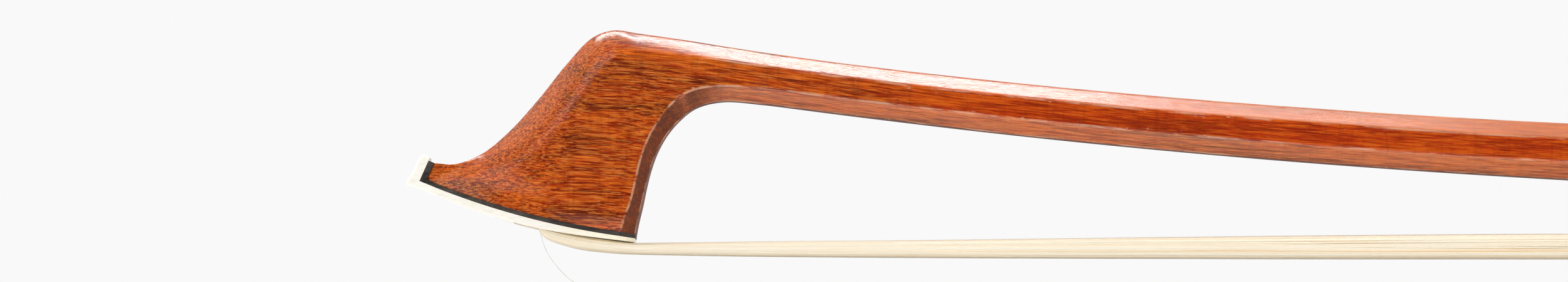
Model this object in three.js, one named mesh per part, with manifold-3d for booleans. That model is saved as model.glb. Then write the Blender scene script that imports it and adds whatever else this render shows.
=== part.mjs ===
// A cello bow at rest, with its hair slackened: stick and head, tip plate, hair, frog, screw and button.
import * as THREE from "three";
import { mergeVertices } from "three/addons/utils/BufferGeometryUtils.js";
import Module from "manifold-3d";

const wasm = await Module();
wasm.setup();

// All sizes are in millimetres. In side view, s runs from the beak along the hair and h is the height
// above it. Along the straight handle, t runs from the button's end towards the head, and z is the height
// above its axis.

// The whole bow
const bowLength = 715;
const glueGap = 0.05; // between pieces that are glued or driven together
const runningGap = 0.1; // between pieces that slide or turn
const overrun = 3; // how far a cut runs past the piece that it cuts

// The head, and the tip plate's parabola, whose heights are above the hair's middle
const headLength = 27.6;
const headHeight = 26.6;
const headChamfer = 1.75;
const plateHalfWidth = 5.8;
const plateHeel = 1.05;
const plateRise = 7.25;
const plateBowShare = 0.57; // how much of the rise is curved
const plateRun = 26.04; // from the heel to the foot of the upturned beak
const linerThickness = 0.65;
const linerUpturn = 2.35;
const plateThickness = 0.68;
const hookThickness = 1.28;
const hookHeight = 2.95;
const noseReach = 0.2; // how far the plate's nose stands past its upturned hook
const noseDrop = 0.45; // how far the nose thickens below the plate
const noseDropShare = 0.09; // share of the plate's run over which it thickens

// The stick's curve: it leaves the head steeply, and settles to a straight handle
const neckWidth = 6.2; // across the flats of the octagon
const handleWidth = 10;
const taperStart = 60;
const neckEnd = 48; // where the head's shape begins, from the beak
const neckHeightShare = 0.786; // the stick's centre at the neck, as a share of the head's height
const neckPlaceShare = 1.514; // where that height is taken, as a share of the head's length
const camberRiseShare = 0.06; // slope that the curve settles to
const camberDropShare = 0.1995; // slope that fades along the curve
const camberReach = 173; // length over which it fades
const handleLength = 175;
const guideLength = 12; // stick beyond the neck that steers the head's outlines

// The head's mortise, plug and knot
const headMortiseBack = 17.8; // from the beak
const headMortiseLength = 6.2;
const headMortiseFrontLean = 2.6;
const headMortiseBackLean = 0.4;
const headMortiseRoof = 9.7; // above the hair
const headMortiseWidth = 6;
const headPlugHeight = 7.4; // above the hair
const headKnotRadius = 0.95;

// Hair, a flat ribbon
const hairThickness = 1.2;
const hairRootThickness = 1.5;
const hairMouthThickness = 0.9;
const hairNeckWidth = 9.6;
const hairMouthWidth = 11.8;
const hairRootWidth = 5.6;
const hairKnotWidth = 8.2;
const hairChannelWidth = 10.6;
const hairSettle = 19; // from the ferrule to where the hair has its free thickness

// Button and screw
const buttonLength = 14.5;
const buttonWidth = 9.8; // across the flats
const buttonRingLength = 3.4;
const buttonRingWall = 0.6;
const buttonEyeRadius = 2.7;
const buttonEyeThickness = 0.9;
const buttonPinRadius = 0.4;
const buttonPinLength = 1.5;
const screwRadius = 1.75;
const screwTip = 95; // from the button's end
const threadEnd = 60; // from the button's end
const pilotRadius = 1.45; // the plain rod beyond the thread
const screwTang = 2.6; // the square that drives the button
const nippleRadius = 3.2;
const nippleLength = 1.3;
const stickEnd = 14.8; // from the button's end
const boreGap = 0.15;
const boreMargin = 2;

// Frog, with its places measured from the button's end
const frogHeel = 23.5;
const frogLength = 49.1; // heel to the front of the tongue
const frogWidth = 13.6;
const frogTravel = 6;
const railDrop = 2.1; // top of the frog's rails below the stick's axis
const railLip = 73.6; // front tip of the thumb projection
const railLipHeight = 1.2;
const railLipSlant = 2.4; // how far the rails lean back from the lip's tip
const throatDepth = 4.4;
const shoulderLength = 40.1; // heel to the ferrule
const ferruleHeight = 8.4;
const ferruleLength = 9.5;
const ferruleWidth = 14.4;
const ferruleWall = 0.5;
const ferruleSideHeight = 3.2; // straight part of its sides
const pearlThickness = 0.6;
const backingThickness = 0.7;
const slideHalfWidth = 5.2;
const dovetailShare = 0.35; // how fast the slide widens inwards
const channelHalfWidth = 5.6;
const channelHeight = 1.5;
const mortiseBack = 37;
const mortiseLength = 9;
const mortiseHalfWidth = 4.6;
const mortiseDepth = 6;
const frogKnotRadius = 1.1;
const heelRound = 4; // radius of the frog's rounded heel
const heelPlateThickness = 0.7;
const heelPlateShare = 0.59; // its height, as a share of the frog's depth
const heelPlateLength = 10;
const heelPinRadius = 0.6;
const heelPinLength = 3.4;
const eyePlace = 42; // from the button's end
const eyeDrop = 13.4; // below the stick's axis
const eyeRadius = 3.2;
const eyeDepth = 1.1;
const eyeRingInner = 4.2;
const eyeRingOuter = 4.7;

// Eyelet, underslide and its screws
const undersideThickness = 0.5;
const eyeletPlace = 48; // from the button's end
const eyeletLength = 6.4;
const eyeletWidth = 4;
const eyeletTop = 2.8; // above the stick's axis
const eyeletShankRadius = 2.1;
const eyeletShankLength = 6.6;
const eyeletMortiseWidth = 4.6;
const eyeletMortiseTop = 3.5;
const eyeletMargin = 1;
const slideScrewRadius = 0.55;
const slideScrewHeadRadius = 1.1;
const slideScrewLength = 3.6;
const slideScrewFront = 59;
const slideScrewBack = 30;

// Leather and winding
const leatherStart = 75.5; // from the button's end
const leatherLength = 34;
const leatherThickness = 1;
const windingLength = 62;
const windingThickness = 0.35;

// How finely round shapes are cut
const roundSides = 24;
const curveSteps = 14;
const stickSteps = 42;
const stepsPerStation = 2;
const weldDistance = 1e-4;

// Octagon: where its corners lie across its depth, and half a facet against half its width
const facetCount = 8;
const cornerShare = 1 / (2 + Math.SQRT2);
const facetShare = Math.SQRT2 - 1;

// Materials
function finish(color, roughness, metalness = 0) {
  return new THREE.MeshStandardMaterial({ color, roughness, metalness });
}
const finishes = {
  pernambuco: finish(0x9a3c12, 0.35),
  ebony: finish(0x2a2320, 0.5),
  bone: finish(0xf3efe4, 0.4),
  hair: finish(0xefe2c6, 0.6),
  maple: finish(0xd8b98a, 0.7),
  thread: finish(0xb9a98c, 0.8),
  leather: finish(0x2b1d16, 0.75),
  silver: finish(0xc9c9cc, 0.28, 1),
  pearl: finish(0xdfe6e2, 0.25),
  brass: finish(0xb8923a, 0.35, 1),
  steel: finish(0x8f9296, 0.35, 1),
};

// The curve of the stick's centre. Its slope is the settled rise less a drop that fades as
// exp(-distance / reach).
const neckPlace = headLength * neckPlaceShare;
const neckHeight = headHeight * neckHeightShare;
const handleStart = bowLength - handleLength;
const camberFade = (s) => Math.exp((neckPlace - s) / camberReach);
const stickSlope = (s) => camberRiseShare - camberDropShare * camberFade(Math.min(s, handleStart));
const handleSlope = stickSlope(handleStart);
const handleTilt = Math.atan(handleSlope);

function stickHeight(s) {
  const curved = Math.min(s, handleStart);
  const rise = camberRiseShare * (curved - neckPlace);
  const drop = camberDropShare * camberReach * (1 - camberFade(curved));
  return neckHeight + rise - drop + (s - curved) * handleSlope;
}

function stickWidth(s) {
  const share = THREE.MathUtils.clamp((s - taperStart) / (handleStart - taperStart), 0, 1);
  return THREE.MathUtils.lerp(neckWidth, handleWidth, share);
}

const buttonHeight = stickHeight(bowLength);

// The handle's own frame inside the side view: its x runs out of the button, its z away from the hair.
const handleFrame = new THREE.Matrix4()
  .makeTranslation(bowLength, 0, buttonHeight)
  .multiply(new THREE.Matrix4().makeRotationY(-handleTilt));
const onHandle = (t, z) => new THREE.Vector3(-t, 0, z).applyMatrix4(handleFrame);

// Solids and meshes
function solid(geometry) {
  const bare = geometry.index ? geometry.toNonIndexed() : geometry.clone();
  const positions = new THREE.BufferGeometry().setAttribute("position", bare.getAttribute("position"));
  const merged = mergeVertices(positions, weldDistance);
  return new wasm.Manifold(
    new wasm.Mesh({
      numProp: 3,
      vertProperties: merged.attributes.position.array,
      triVerts: new Uint32Array(merged.index.array),
    }),
  );
}

function cut(body, ...tools) {
  return tools.reduce((rest, tool) => rest.subtract(tool), body);
}

function mesh(name, material, body) {
  const { vertProperties, triVerts } = body.getMesh();
  const geometry = new THREE.BufferGeometry();
  geometry.setAttribute("position", new THREE.BufferAttribute(vertProperties, 3));
  geometry.setIndex(new THREE.BufferAttribute(triVerts, 1));
  const flat = geometry.toNonIndexed();
  flat.computeVertexNormals();
  const made = new THREE.Mesh(flat, material);
  made.name = name;
  return made;
}

function shapeOf(outline) {
  if (outline instanceof THREE.Shape) {
    return outline;
  }
  return new THREE.Shape(outline.map((pair) => new THREE.Vector2(...pair)));
}

// A side outline of [x, z] pairs, or a shape, carried across the bow's width about its middle plane.
function acrossWidth(outline, width) {
  const options = { depth: width, bevelEnabled: false, curveSegments: curveSteps };
  const geometry = new THREE.ExtrudeGeometry(shapeOf(outline), options);
  geometry.translate(0, 0, -width / 2);
  geometry.rotateX(Math.PI / 2);
  return solid(geometry);
}

// A cross-section of [y, z] pairs, or a shape, carried along the handle between two distances from its end.
function alongHandle(section, fromT, toT) {
  const options = { depth: toT - fromT, bevelEnabled: false, curveSegments: curveSteps };
  const geometry = new THREE.ExtrudeGeometry(shapeOf(section), options);
  const turn = new THREE.Matrix4().makeBasis(
    new THREE.Vector3(0, 1, 0),
    new THREE.Vector3(0, 0, 1),
    new THREE.Vector3(1, 0, 0),
  );
  geometry.applyMatrix4(turn);
  geometry.translate(-toT, 0, 0);
  return solid(geometry);
}

function box(width, fromT, toT, lowZ, highZ, middleY = 0) {
  const geometry = new THREE.BoxGeometry(toT - fromT, width, highZ - lowZ);
  geometry.translate(-(fromT + toT) / 2, middleY, (lowZ + highZ) / 2);
  return solid(geometry);
}

function rodAlong(radius, fromT, toT, y = 0, z = 0) {
  const geometry = new THREE.CylinderGeometry(radius, radius, toT - fromT, roundSides);
  geometry.rotateZ(Math.PI / 2);
  geometry.translate(-(fromT + toT) / 2, y, z);
  return solid(geometry);
}

function rodUp(radius, t, y, lowZ, highZ) {
  const geometry = new THREE.CylinderGeometry(radius, radius, highZ - lowZ, roundSides);
  geometry.rotateX(Math.PI / 2);
  geometry.translate(-t, y, (lowZ + highZ) / 2);
  return solid(geometry);
}

function rodAcross(radius, x, z, lowY, highY) {
  const geometry = new THREE.CylinderGeometry(radius, radius, highY - lowY, roundSides);
  geometry.translate(x, (lowY + highY) / 2, z);
  return solid(geometry);
}

// A hole that a round rod with as many sides turns in, its flats clear of the rod's corners.
const holeRadius = (radius, gap) => (radius + gap) / Math.cos(Math.PI / roundSides);

function octagon(width) {
  const half = width / 2;
  const facet = half * facetShare;
  const corners = [
    [facet, -half],
    [half, -facet],
  ];
  const right = [...corners, ...corners.map(([y, z]) => [y, -z]).reverse()];
  return [...right, ...right.map(([y, z]) => [-y, z]).reverse()];
}

// One closed skin over rings of points. Each ring lists its left side upwards, then its right side down.
function loft(rings) {
  const count = rings[0].length;
  const faces = [];
  const quad = (a, b, c, d) => faces.push(a, b, c, a, c, d);
  rings.slice(1).forEach((_, ring) => {
    const here = ring * count;
    const ahead = here + count;
    for (let corner = 0; corner < count; corner += 1) {
      const next = (corner + 1) % count;
      quad(here + corner, here + next, ahead + next, ahead + corner);
    }
  });
  const lastRing = (rings.length - 1) * count;
  for (let row = 0; row + 1 < count / 2; row += 1) {
    const mate = count - 1 - row;
    quad(mate, mate - 1, row + 1, row);
    quad(lastRing + row, lastRing + row + 1, lastRing + mate - 1, lastRing + mate);
  }
  const geometry = new THREE.BufferGeometry();
  const positions = rings.flat().flatMap((point) => point.toArray());
  geometry.setAttribute("position", new THREE.Float32BufferAttribute(positions, 3));
  geometry.setIndex(faces);
  return solid(geometry);
}

// Rows on one side of a section, mirrored to the other side.
function ringOf(rows) {
  const left = rows.map(({ place, half }) => new THREE.Vector3(place.x, half, place.z));
  const right = rows.map(({ place, half }) => new THREE.Vector3(place.x, -half, place.z)).reverse();
  return [...left, ...right];
}

// The plate's parabola: share 0 is the heel, 1 the foot of the upturned beak, and drop goes out of the head.
function plateSlope(share) {
  return (plateRise * (1 - plateBowShare + 2 * plateBowShare * share)) / plateRun;
}

function plateLine(share, drop) {
  const rise = plateRise * ((1 - plateBowShare) * share + plateBowShare * share * share);
  const lean = Math.atan(plateSlope(share));
  const x = headLength - plateRun * share - drop * Math.sin(lean);
  return new THREE.Vector3(x, 0, plateHeel + rise - drop * Math.cos(lean));
}

// A point by the beak's corner: forward goes along the plate past the beak, up goes square to the plate.
function beakPoint(forward, up) {
  const lean = Math.atan(plateSlope(1));
  const corner = plateLine(1, 0);
  const x = corner.x - forward * Math.cos(lean) + up * Math.sin(lean);
  return new THREE.Vector3(x, 0, corner.z + forward * Math.sin(lean) + up * Math.cos(lean));
}

// Half the plate's width, as a share of its widest, at shares of its run.
const plateWidthShares = [
  [0, 0.905],
  [0.15, 0.965],
  [0.27, 1],
  [0.42, 0.965],
  [0.56, 0.86],
  [0.69, 0.71],
  [0.81, 0.55],
  [0.9, 0.43],
  [1, 0.335],
];
const beakTopShare = 0.28; // half the beak's width at its top, against the plate's widest
const woodLift = linerThickness + glueGap; // the head's wood above the liner's underside

// The head's stations from the neck to the plate: throat s, throat h, front s, front h, cheek, chamfer.
// They are shares of the head's length and height, of half the plate's width, and of the head's chamfer.
const headStationShares = [
  [1.558, 0.66, 1.514, 0.906, 0.534, 1.057],
  [1.384, 0.672, 1.214, 0.955, 0.543, 1.171],
  [1.268, 0.643, 1.014, 0.985, 0.569, 1.2],
  [1.192, 0.583, 0.902, 1, 0.603, 1.143],
  [1.138, 0.517, 0.808, 0.966, 0.647, 1.03],
  [1.098, 0.444, 0.696, 0.846, 0.707, 0.943],
  [1.069, 0.365, 0.572, 0.684, 0.776, 0.829],
  [1.047, 0.278, 0.446, 0.538, 0.845, 0.743],
  [1.031, 0.199, 0.326, 0.434, 0.905, 0.771],
  [1.0145, 0.128, 0.21, 0.386, 0.957, 0.886],
];

// Rows from the chamfer to the front ridge: depth share and half-width share. The stick's lie on its
// octagon.
const rowCount = plateWidthShares.length;
const headRowShares = [
  [0.18, 1],
  [0.3, 1],
  [0.42, 1],
  [0.54, 0.985],
  [0.65, 0.94],
  [0.75, 0.855],
  [0.84, 0.71],
  [0.93, 0.46],
  [1, 0.17],
];
const stickRowShares = headRowShares.map((_, row) => {
  const sideRows = rowCount - 3;
  if (row < sideRows) {
    return [cornerShare + ((1 - 2 * cornerShare) * (row + 1)) / sideRows, 1];
  }
  const climb = (row + 1 - sideRows) / (rowCount - sideRows);
  return [1 - cornerShare * (1 - climb), 1 - (1 - facetShare) * climb];
});
const plateRowShares = [...plateWidthShares.slice(1), [1, beakTopShare]];

function stickSide(s, side) {
  const lean = Math.atan(stickSlope(s));
  const reach = (side * stickWidth(s)) / 2;
  return new THREE.Vector3(s - reach * Math.sin(lean), 0, stickHeight(s) + reach * Math.cos(lean));
}

// One section's rows, from its back corner and chamfer to its front.
function sectionRows(back, front, cheek, chamfer, rowShares) {
  const depth = back.distanceTo(front);
  const firstRows = [
    { share: 0, half: cheek - chamfer },
    { share: chamfer / depth, half: cheek },
  ];
  const rows = [...firstRows, ...rowShares.map(([share, half]) => ({ share, half: half * cheek }))];
  return rows.map(({ share, half }) => ({ place: back.clone().lerp(front, share), half }));
}

function stickRing(s) {
  const width = stickWidth(s);
  const chamfer = width * cornerShare;
  return ringOf(sectionRows(stickSide(s, -1), stickSide(s, 1), width / 2, chamfer, stickRowShares));
}

// The head's outlines, carried through matching stations.
const heelPoint = plateLine(0, -woodLift);
const beakTop = beakPoint(-woodLift, linerUpturn);
const beakCorner = beakPoint(-woodLift, woodLift);
const guidePlaces = [neckEnd + guideLength, neckEnd];
const throatCurve = new THREE.CatmullRomCurve3([
  ...guidePlaces.map((s) => stickSide(s, -1)),
  ...headStationShares.map(([s, h]) => new THREE.Vector3(s * headLength, 0, h * headHeight)),
  heelPoint,
]);
const frontCurve = new THREE.CatmullRomCurve3([
  ...guidePlaces.map((s) => stickSide(s, 1)),
  ...headStationShares.map(([, , s, h]) => new THREE.Vector3(s * headLength, 0, h * headHeight)),
  beakTop,
]);
const girthCurve = new THREE.CatmullRomCurve3([
  ...guidePlaces.map(() => new THREE.Vector3(neckWidth / 2, neckWidth * cornerShare, 0)),
  ...headStationShares.map(
    ([, , , , cheek, chamfer]) => new THREE.Vector3(cheek * plateHalfWidth, chamfer * headChamfer, 0),
  ),
  new THREE.Vector3(plateWidthShares[0][1] * plateHalfWidth, headChamfer, 0),
]);
const lastStation = throatCurve.points.length - 1;

// The plate's own rows on the head's last section: its heel, its chamfer, the parabola and the beak.
function plateRing() {
  const along = ([share, half]) => ({ place: plateLine(share, -woodLift), half: half * plateHalfWidth });
  const heelHalf = plateWidthShares[0][1] * plateHalfWidth;
  const chamferPlace = plateLine(headChamfer / plateRun, -woodLift);
  const inner = plateWidthShares.slice(1, -1).map(along);
  const corner = { place: beakCorner, half: plateWidthShares.at(-1)[1] * plateHalfWidth };
  const top = { place: beakTop, half: beakTopShare * plateHalfWidth };
  return [
    { place: heelPoint, half: heelHalf - headChamfer },
    { place: chamferPlace, half: heelHalf },
    ...inner,
    corner,
    top,
  ];
}

// Stations at which the octagon has become the head's section, and the head's section the plate's.
const headBlend = [2, 7];
const plateBlend = [8, lastStation];
const bulgeStart = 7;

function headRows(station) {
  const place = station / lastStation;
  const girth = girthCurve.getPoint(place);
  const toHead = THREE.MathUtils.smoothstep(station, ...headBlend);
  const toPlate = THREE.MathUtils.smoothstep(station, ...plateBlend);
  const mix = (row, item) => {
    const early = THREE.MathUtils.lerp(stickRowShares[row][item], headRowShares[row][item], toHead);
    return THREE.MathUtils.lerp(early, plateRowShares[row][item], toPlate);
  };
  const rowShares = headRowShares.map((_, row) => [mix(row, 0), mix(row, 1)]);
  return sectionRows(throatCurve.getPoint(place), frontCurve.getPoint(place), girth.x, girth.y, rowShares);
}

// The sections are straight by the neck, and bow out bit by bit into the plate's parabola.
function headRing(station) {
  const rows = headRows(station);
  const straight = headRows(lastStation);
  const target = plateRing();
  const bulge = Math.max((station - bulgeStart) / (lastStation - bulgeStart), 0) ** 2;
  const bowed = rows.map(({ place, half }, row) => {
    const shift = target[row].place.clone().sub(straight[row].place).multiplyScalar(bulge);
    const fit = (target[row].half - straight[row].half) * bulge;
    return { place: place.clone().add(shift), half: half + fit };
  });
  return ringOf(bowed);
}

function headMortise(gap = 0) {
  const front = headMortiseBack - headMortiseLength;
  const outline = [
    [front + gap, -overrun],
    [headMortiseBack - gap, -overrun],
    [headMortiseBack - headMortiseBackLean - gap, headMortiseRoof - gap],
    [front + headMortiseFrontLean + gap, headMortiseRoof - gap],
  ];
  return acrossWidth(outline, headMortiseWidth - 2 * gap);
}

function stickBody() {
  const headSteps = (lastStation - 1) * stepsPerStation;
  const rings = [];
  for (let step = 0; step < headSteps; step += 1) {
    rings.push(headRing(lastStation - step / stepsPerStation));
  }
  for (let step = 0; step <= stickSteps; step += 1) {
    rings.push(stickRing(THREE.MathUtils.lerp(neckEnd, handleStart, step / stickSteps)));
  }
  rings.push(stickRing(onHandle(stickEnd, 0).x));
  const nipple = rodAlong(nippleRadius, stickEnd - nippleLength, stickEnd + overrun);
  const bore = rodAlong(holeRadius(screwRadius, boreGap), -overrun, screwTip + boreMargin);
  const mortise = box(
    eyeletMortiseWidth,
    eyeletPlace - eyeletLength / 2 - frogTravel - eyeletMargin,
    eyeletPlace + eyeletLength / 2 + eyeletMargin,
    -handleWidth,
    eyeletMortiseTop,
  );
  const [nippleHere, boreHere, mortiseHere] = [nipple, bore, mortise].map((tool) =>
    tool.transform(handleFrame.toArray()),
  );
  return cut(loft(rings).add(nippleHere), boreHere, mortiseHere, headMortise());
}

// The plate's outline from above, as a wall that its side view is trimmed by. Its nose is rounded off:
// pairs of reach past the beak's corner and half width, as shares of the nose's reach and of the corner's
// half width.
const noseShares = [
  [0.4, 0.95],
  [0.72, 0.81],
  [0.92, 0.6],
  [1, 0.33],
];

function plateWall() {
  const across = plateWidthShares.map(([share, half]) => {
    return new THREE.Vector2(headLength - plateRun * share, half * plateHalfWidth);
  });
  const side = new THREE.SplineCurve(across).getPoints(across.length * stepsPerStation);
  const heelHalf = side[0].y;
  const corner = side.at(-1);
  const reach = corner.x - beakPoint(hookThickness + noseReach + glueGap, 0).x;
  const backEdge = headLength + overrun;
  const half = [
    [backEdge, heelHalf - headChamfer - overrun],
    [headLength, heelHalf - headChamfer],
    [headLength - headChamfer, heelHalf],
    ...side.filter(({ x }) => x < headLength - headChamfer).map(({ x, y }) => [x, y]),
    ...noseShares.map(([forward, width]) => [corner.x - forward * reach, width * corner.y]),
  ];
  const outline = [...half, ...half.map(([x, y]) => [x, -y]).reverse()];
  const geometry = new THREE.ExtrudeGeometry(shapeOf(outline), { depth: headHeight, bevelEnabled: false });
  geometry.translate(0, 0, -overrun);
  return solid(geometry);
}

function plateEdge(drop, fromShare = 0, toShare = 1) {
  const length = roundSides + 1;
  return Array.from({ length }, (_, step) => {
    return plateLine(THREE.MathUtils.lerp(fromShare, toShare, step / roundSides), drop);
  });
}

const flatPairs = (points) => points.map(({ x, z }) => [x, z]);

function tipLiner() {
  const outline = flatPairs([
    ...plateEdge(0),
    beakPoint(0, linerUpturn),
    beakPoint(-linerThickness, linerUpturn),
    beakPoint(-linerThickness, linerThickness),
    ...plateEdge(-linerThickness).reverse().slice(1),
  ]);
  return cut(acrossWidth(outline, plateHalfWidth * 2).intersect(plateWall()), headMortise());
}

function tipPlate() {
  const bottom = plateThickness + glueGap;
  const hook = hookThickness + glueGap;
  const outline = flatPairs([
    ...plateEdge(glueGap),
    beakPoint(glueGap, -glueGap),
    beakPoint(glueGap, hookHeight),
    beakPoint(hook - noseReach, hookHeight - noseReach),
    beakPoint(hook, hookHeight - hookThickness / 2),
    beakPoint(hook, 0),
    beakPoint(hook + noseReach, -bottom),
    beakPoint(hook, -bottom - noseDrop),
    ...plateEdge(bottom, 0, 1 - noseDropShare).reverse(),
  ]);
  return cut(acrossWidth(outline, plateHalfWidth * 2).intersect(plateWall()), headMortise());
}

// Where the hair's root, its knot and the wedge in front of it lie in the head's mortise
const mortiseWall = headMortiseBack - headMortiseBackLean - runningGap;
const rootPlace = mortiseWall - hairRootThickness / 2;
const headKnotHeight = headMortiseRoof - runningGap - headKnotRadius;
const rootTop = headKnotHeight - headKnotRadius - runningGap;

// The wedge that closes the head's mortise in front of the hair, flush with the plate.
function headPlug() {
  const back = rootPlace - hairRootThickness / 2 - runningGap;
  const front = headMortiseBack - headMortiseLength;
  const bottom = plateEdge(
    plateThickness + glueGap,
    (headLength - back) / plateRun,
    (headLength - front) / plateRun,
  );
  const outline = [...flatPairs(bottom), [front, headPlugHeight], [back, headPlugHeight]];
  return acrossWidth(outline, headMortiseWidth).intersect(headMortise(glueGap));
}

function headKnot() {
  const place = mortiseWall - headKnotRadius;
  return rodAcross(headKnotRadius, place, headKnotHeight, -hairRootWidth / 2, hairRootWidth / 2);
}

// Levels in the frog, from its bottom upwards. The hair leaves the ferrule on the bow's hair line.
const ferruleBack = frogHeel + shoulderLength;
const ferruleFront = ferruleBack + ferruleLength;
const tongueFront = frogHeel + frogLength;
const hairDepth = (buttonHeight - ferruleFront * Math.sin(handleTilt)) / Math.cos(handleTilt);
const frogBottom = -hairDepth - hairMouthThickness / 2 - glueGap - ferruleWall;
const backingBottom = frogBottom + pearlThickness + glueGap;
const heelPlateHeight = -frogBottom * heelPlateShare;
const slideTop = backingBottom + backingThickness;
const channelRoof = slideTop + channelHeight;
const channelHair = slideTop + runningGap + hairMouthThickness / 2;
const mortiseRoof = channelRoof + mortiseDepth;
const mortiseFront = mortiseBack + mortiseLength;
const frogKnotHeight = mortiseRoof - runningGap - frogKnotRadius;
const frogRootPlace = mortiseFront - runningGap - hairMouthThickness / 2;
const slideBack = frogHeel + heelPlateLength + glueGap;

// The hair leaves the head's mortise downwards and bulges round under the plate before it runs level.
// Places are shares of the way from its root to the heel, heights shares of the plate's height over the
// root, thickness and width shares of the way from the root's size to the free ribbon's.
const hairBulgeShares = [
  [0, 1.91, 0, 0],
  [0, 1.15, 0, 0],
  [0.009, 0.68, 0, 0.05],
  [0.05, 0.36, 0.15, 0.2],
  [0.149, 0.14, 0.6, 0.35],
  [0.312, 0, 1.4, 0.55],
  [0.584, -0.1, 1.9, 0.75],
  [1, -0.12, 1.9, 0.92],
  [1.6, -0.06, 1.4, 1],
  [2.6, 0, 1, 1],
  [4, 0, 1, 1],
  [7, 0, 1, 1],
];

function hairStations() {
  const rootHeight = plateLine((headLength - rootPlace) / plateRun, plateThickness + glueGap).z;
  const bulge = hairBulgeShares.map(([along, up, thin, wide], index) => ({
    place: new THREE.Vector3(
      THREE.MathUtils.lerp(rootPlace, headLength, along),
      0,
      index === 0 ? rootTop : up * rootHeight,
    ),
    thickness: THREE.MathUtils.lerp(hairRootThickness, hairThickness, thin),
    width: THREE.MathUtils.lerp(hairRootWidth, hairNeckWidth, wide),
  }));
  const inFrog = (t, z, width) => ({ place: onHandle(t, z), thickness: hairMouthThickness, width });
  const nearMouth = (t) => ({
    place: new THREE.Vector3(onHandle(t, -hairDepth).x, 0, 0),
    thickness: hairThickness,
    width: hairMouthWidth,
  });
  const turn = hairMouthThickness;
  return [
    ...bulge,
    nearMouth(ferruleFront + hairSettle),
    nearMouth(ferruleFront + hairSettle / 2),
    inFrog(ferruleFront, -hairDepth, hairMouthWidth),
    inFrog(ferruleFront - ferruleLength / 3, -hairDepth, hairMouthWidth),
    inFrog(ferruleBack, channelHair, hairChannelWidth),
    inFrog(ferruleBack - ferruleLength / 3, channelHair, hairChannelWidth),
    inFrog(mortiseFront + turn, channelHair, hairKnotWidth),
    inFrog(frogRootPlace + turn * cornerShare, channelHair + turn * cornerShare, hairKnotWidth),
    inFrog(frogRootPlace, channelHair + turn, hairKnotWidth),
    inFrog(frogRootPlace, frogKnotHeight - frogKnotRadius - runningGap, hairKnotWidth),
  ];
}

// A flat ribbon through its stations, square to its own path.
function hairRibbon() {
  const stations = hairStations();
  const path = new THREE.CatmullRomCurve3(stations.map(({ place }) => place));
  const size = new THREE.CatmullRomCurve3(
    stations.map(({ thickness, width }) => new THREE.Vector3(thickness, width, 0)),
  );
  const steps = (stations.length - 1) * stepsPerStation;
  const rings = [];
  for (let step = 0; step <= steps; step += 1) {
    const place = path.getPoint(step / steps);
    const along = path.getTangent(step / steps);
    const { x: thickness, y: width } = size.getPoint(step / steps);
    const across = new THREE.Vector3(-along.z, 0, along.x).normalize();
    rings.push(
      ringOf([
        { place: place.clone().addScaledVector(across, -thickness / 2), half: width / 2 },
        { place: place.clone().addScaledVector(across, thickness / 2), half: width / 2 },
      ]),
    );
  }
  return loft(rings);
}

// The ferrule's outline: a flat bottom, straight sides and a half ellipse over them.
function ferruleOutline(inset) {
  const half = ferruleWidth / 2 - inset;
  const low = frogBottom + inset;
  const shoulder = frogBottom + ferruleSideHeight;
  const arch = ferruleHeight - ferruleSideHeight - inset;
  const shape = new THREE.Shape();
  shape.moveTo(-half, low);
  shape.lineTo(half, low);
  shape.lineTo(half, shoulder);
  shape.absellipse(0, shoulder, half, arch, 0, Math.PI);
  return shape;
}

function ferrule() {
  const outside = alongHandle(ferruleOutline(0), ferruleBack + glueGap, ferruleFront);
  const inside = alongHandle(ferruleOutline(ferruleWall), ferruleBack - overrun, ferruleFront + overrun);
  return cut(outside, inside);
}

// The wedge above the hair in the ferrule: thin behind, thick in front, where it presses the hair down flat.
function spreadWedge() {
  const top = channelRoof - glueGap;
  const low = -hairDepth + hairMouthThickness / 2 + runningGap;
  const thinEnd = channelHair + hairMouthThickness / 2 + runningGap;
  const back = ferruleBack + runningGap;
  const side = [
    [-back, top],
    [-tongueFront, top],
    [-tongueFront, low],
    [-tongueFront + ferruleLength / 3, low],
    [-back, thinEnd],
  ];
  const room = alongHandle(ferruleOutline(ferruleWall + glueGap), ferruleBack, ferruleFront);
  return acrossWidth(side, ferruleWidth).intersect(room);
}

// Underslide, stick and frog share one octagon, each a clearance outside the other.
const slideInside = handleWidth / 2 + runningGap;
const slideOutside = slideInside + undersideThickness;
const frogInside = slideOutside + glueGap;
const lipUnder = -frogInside - railLipHeight;
const undersideFront = railLip - railLipSlant;
const shankHole = holeRadius(eyeletShankRadius, glueGap);
const slideScrewPlaces = [slideScrewBack, slideScrewFront];

function underslide() {
  const facets = (half) => [
    [half, -half * facetShare],
    [half * facetShare, -half],
    [-half * facetShare, -half],
    [-half, -half * facetShare],
  ];
  const section = [...facets(slideOutside), ...facets(slideInside).reverse()];
  const trough = alongHandle(section, frogHeel, undersideFront);
  const shankRoom = rodUp(shankHole, eyeletPlace, 0, -slideOutside - overrun, 0);
  const headRooms = slideScrewPlaces.map((t) =>
    rodUp(holeRadius(slideScrewHeadRadius, glueGap), t, 0, -slideOutside - overrun, 0),
  );
  return cut(trough, shankRoom, ...headRooms);
}

function undersideScrew(t) {
  const top = -slideInside;
  const head = rodUp(slideScrewHeadRadius, t, 0, top - undersideThickness, top);
  return head.add(rodUp(slideScrewRadius, t, 0, top - slideScrewLength, top - undersideThickness / 2));
}

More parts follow.
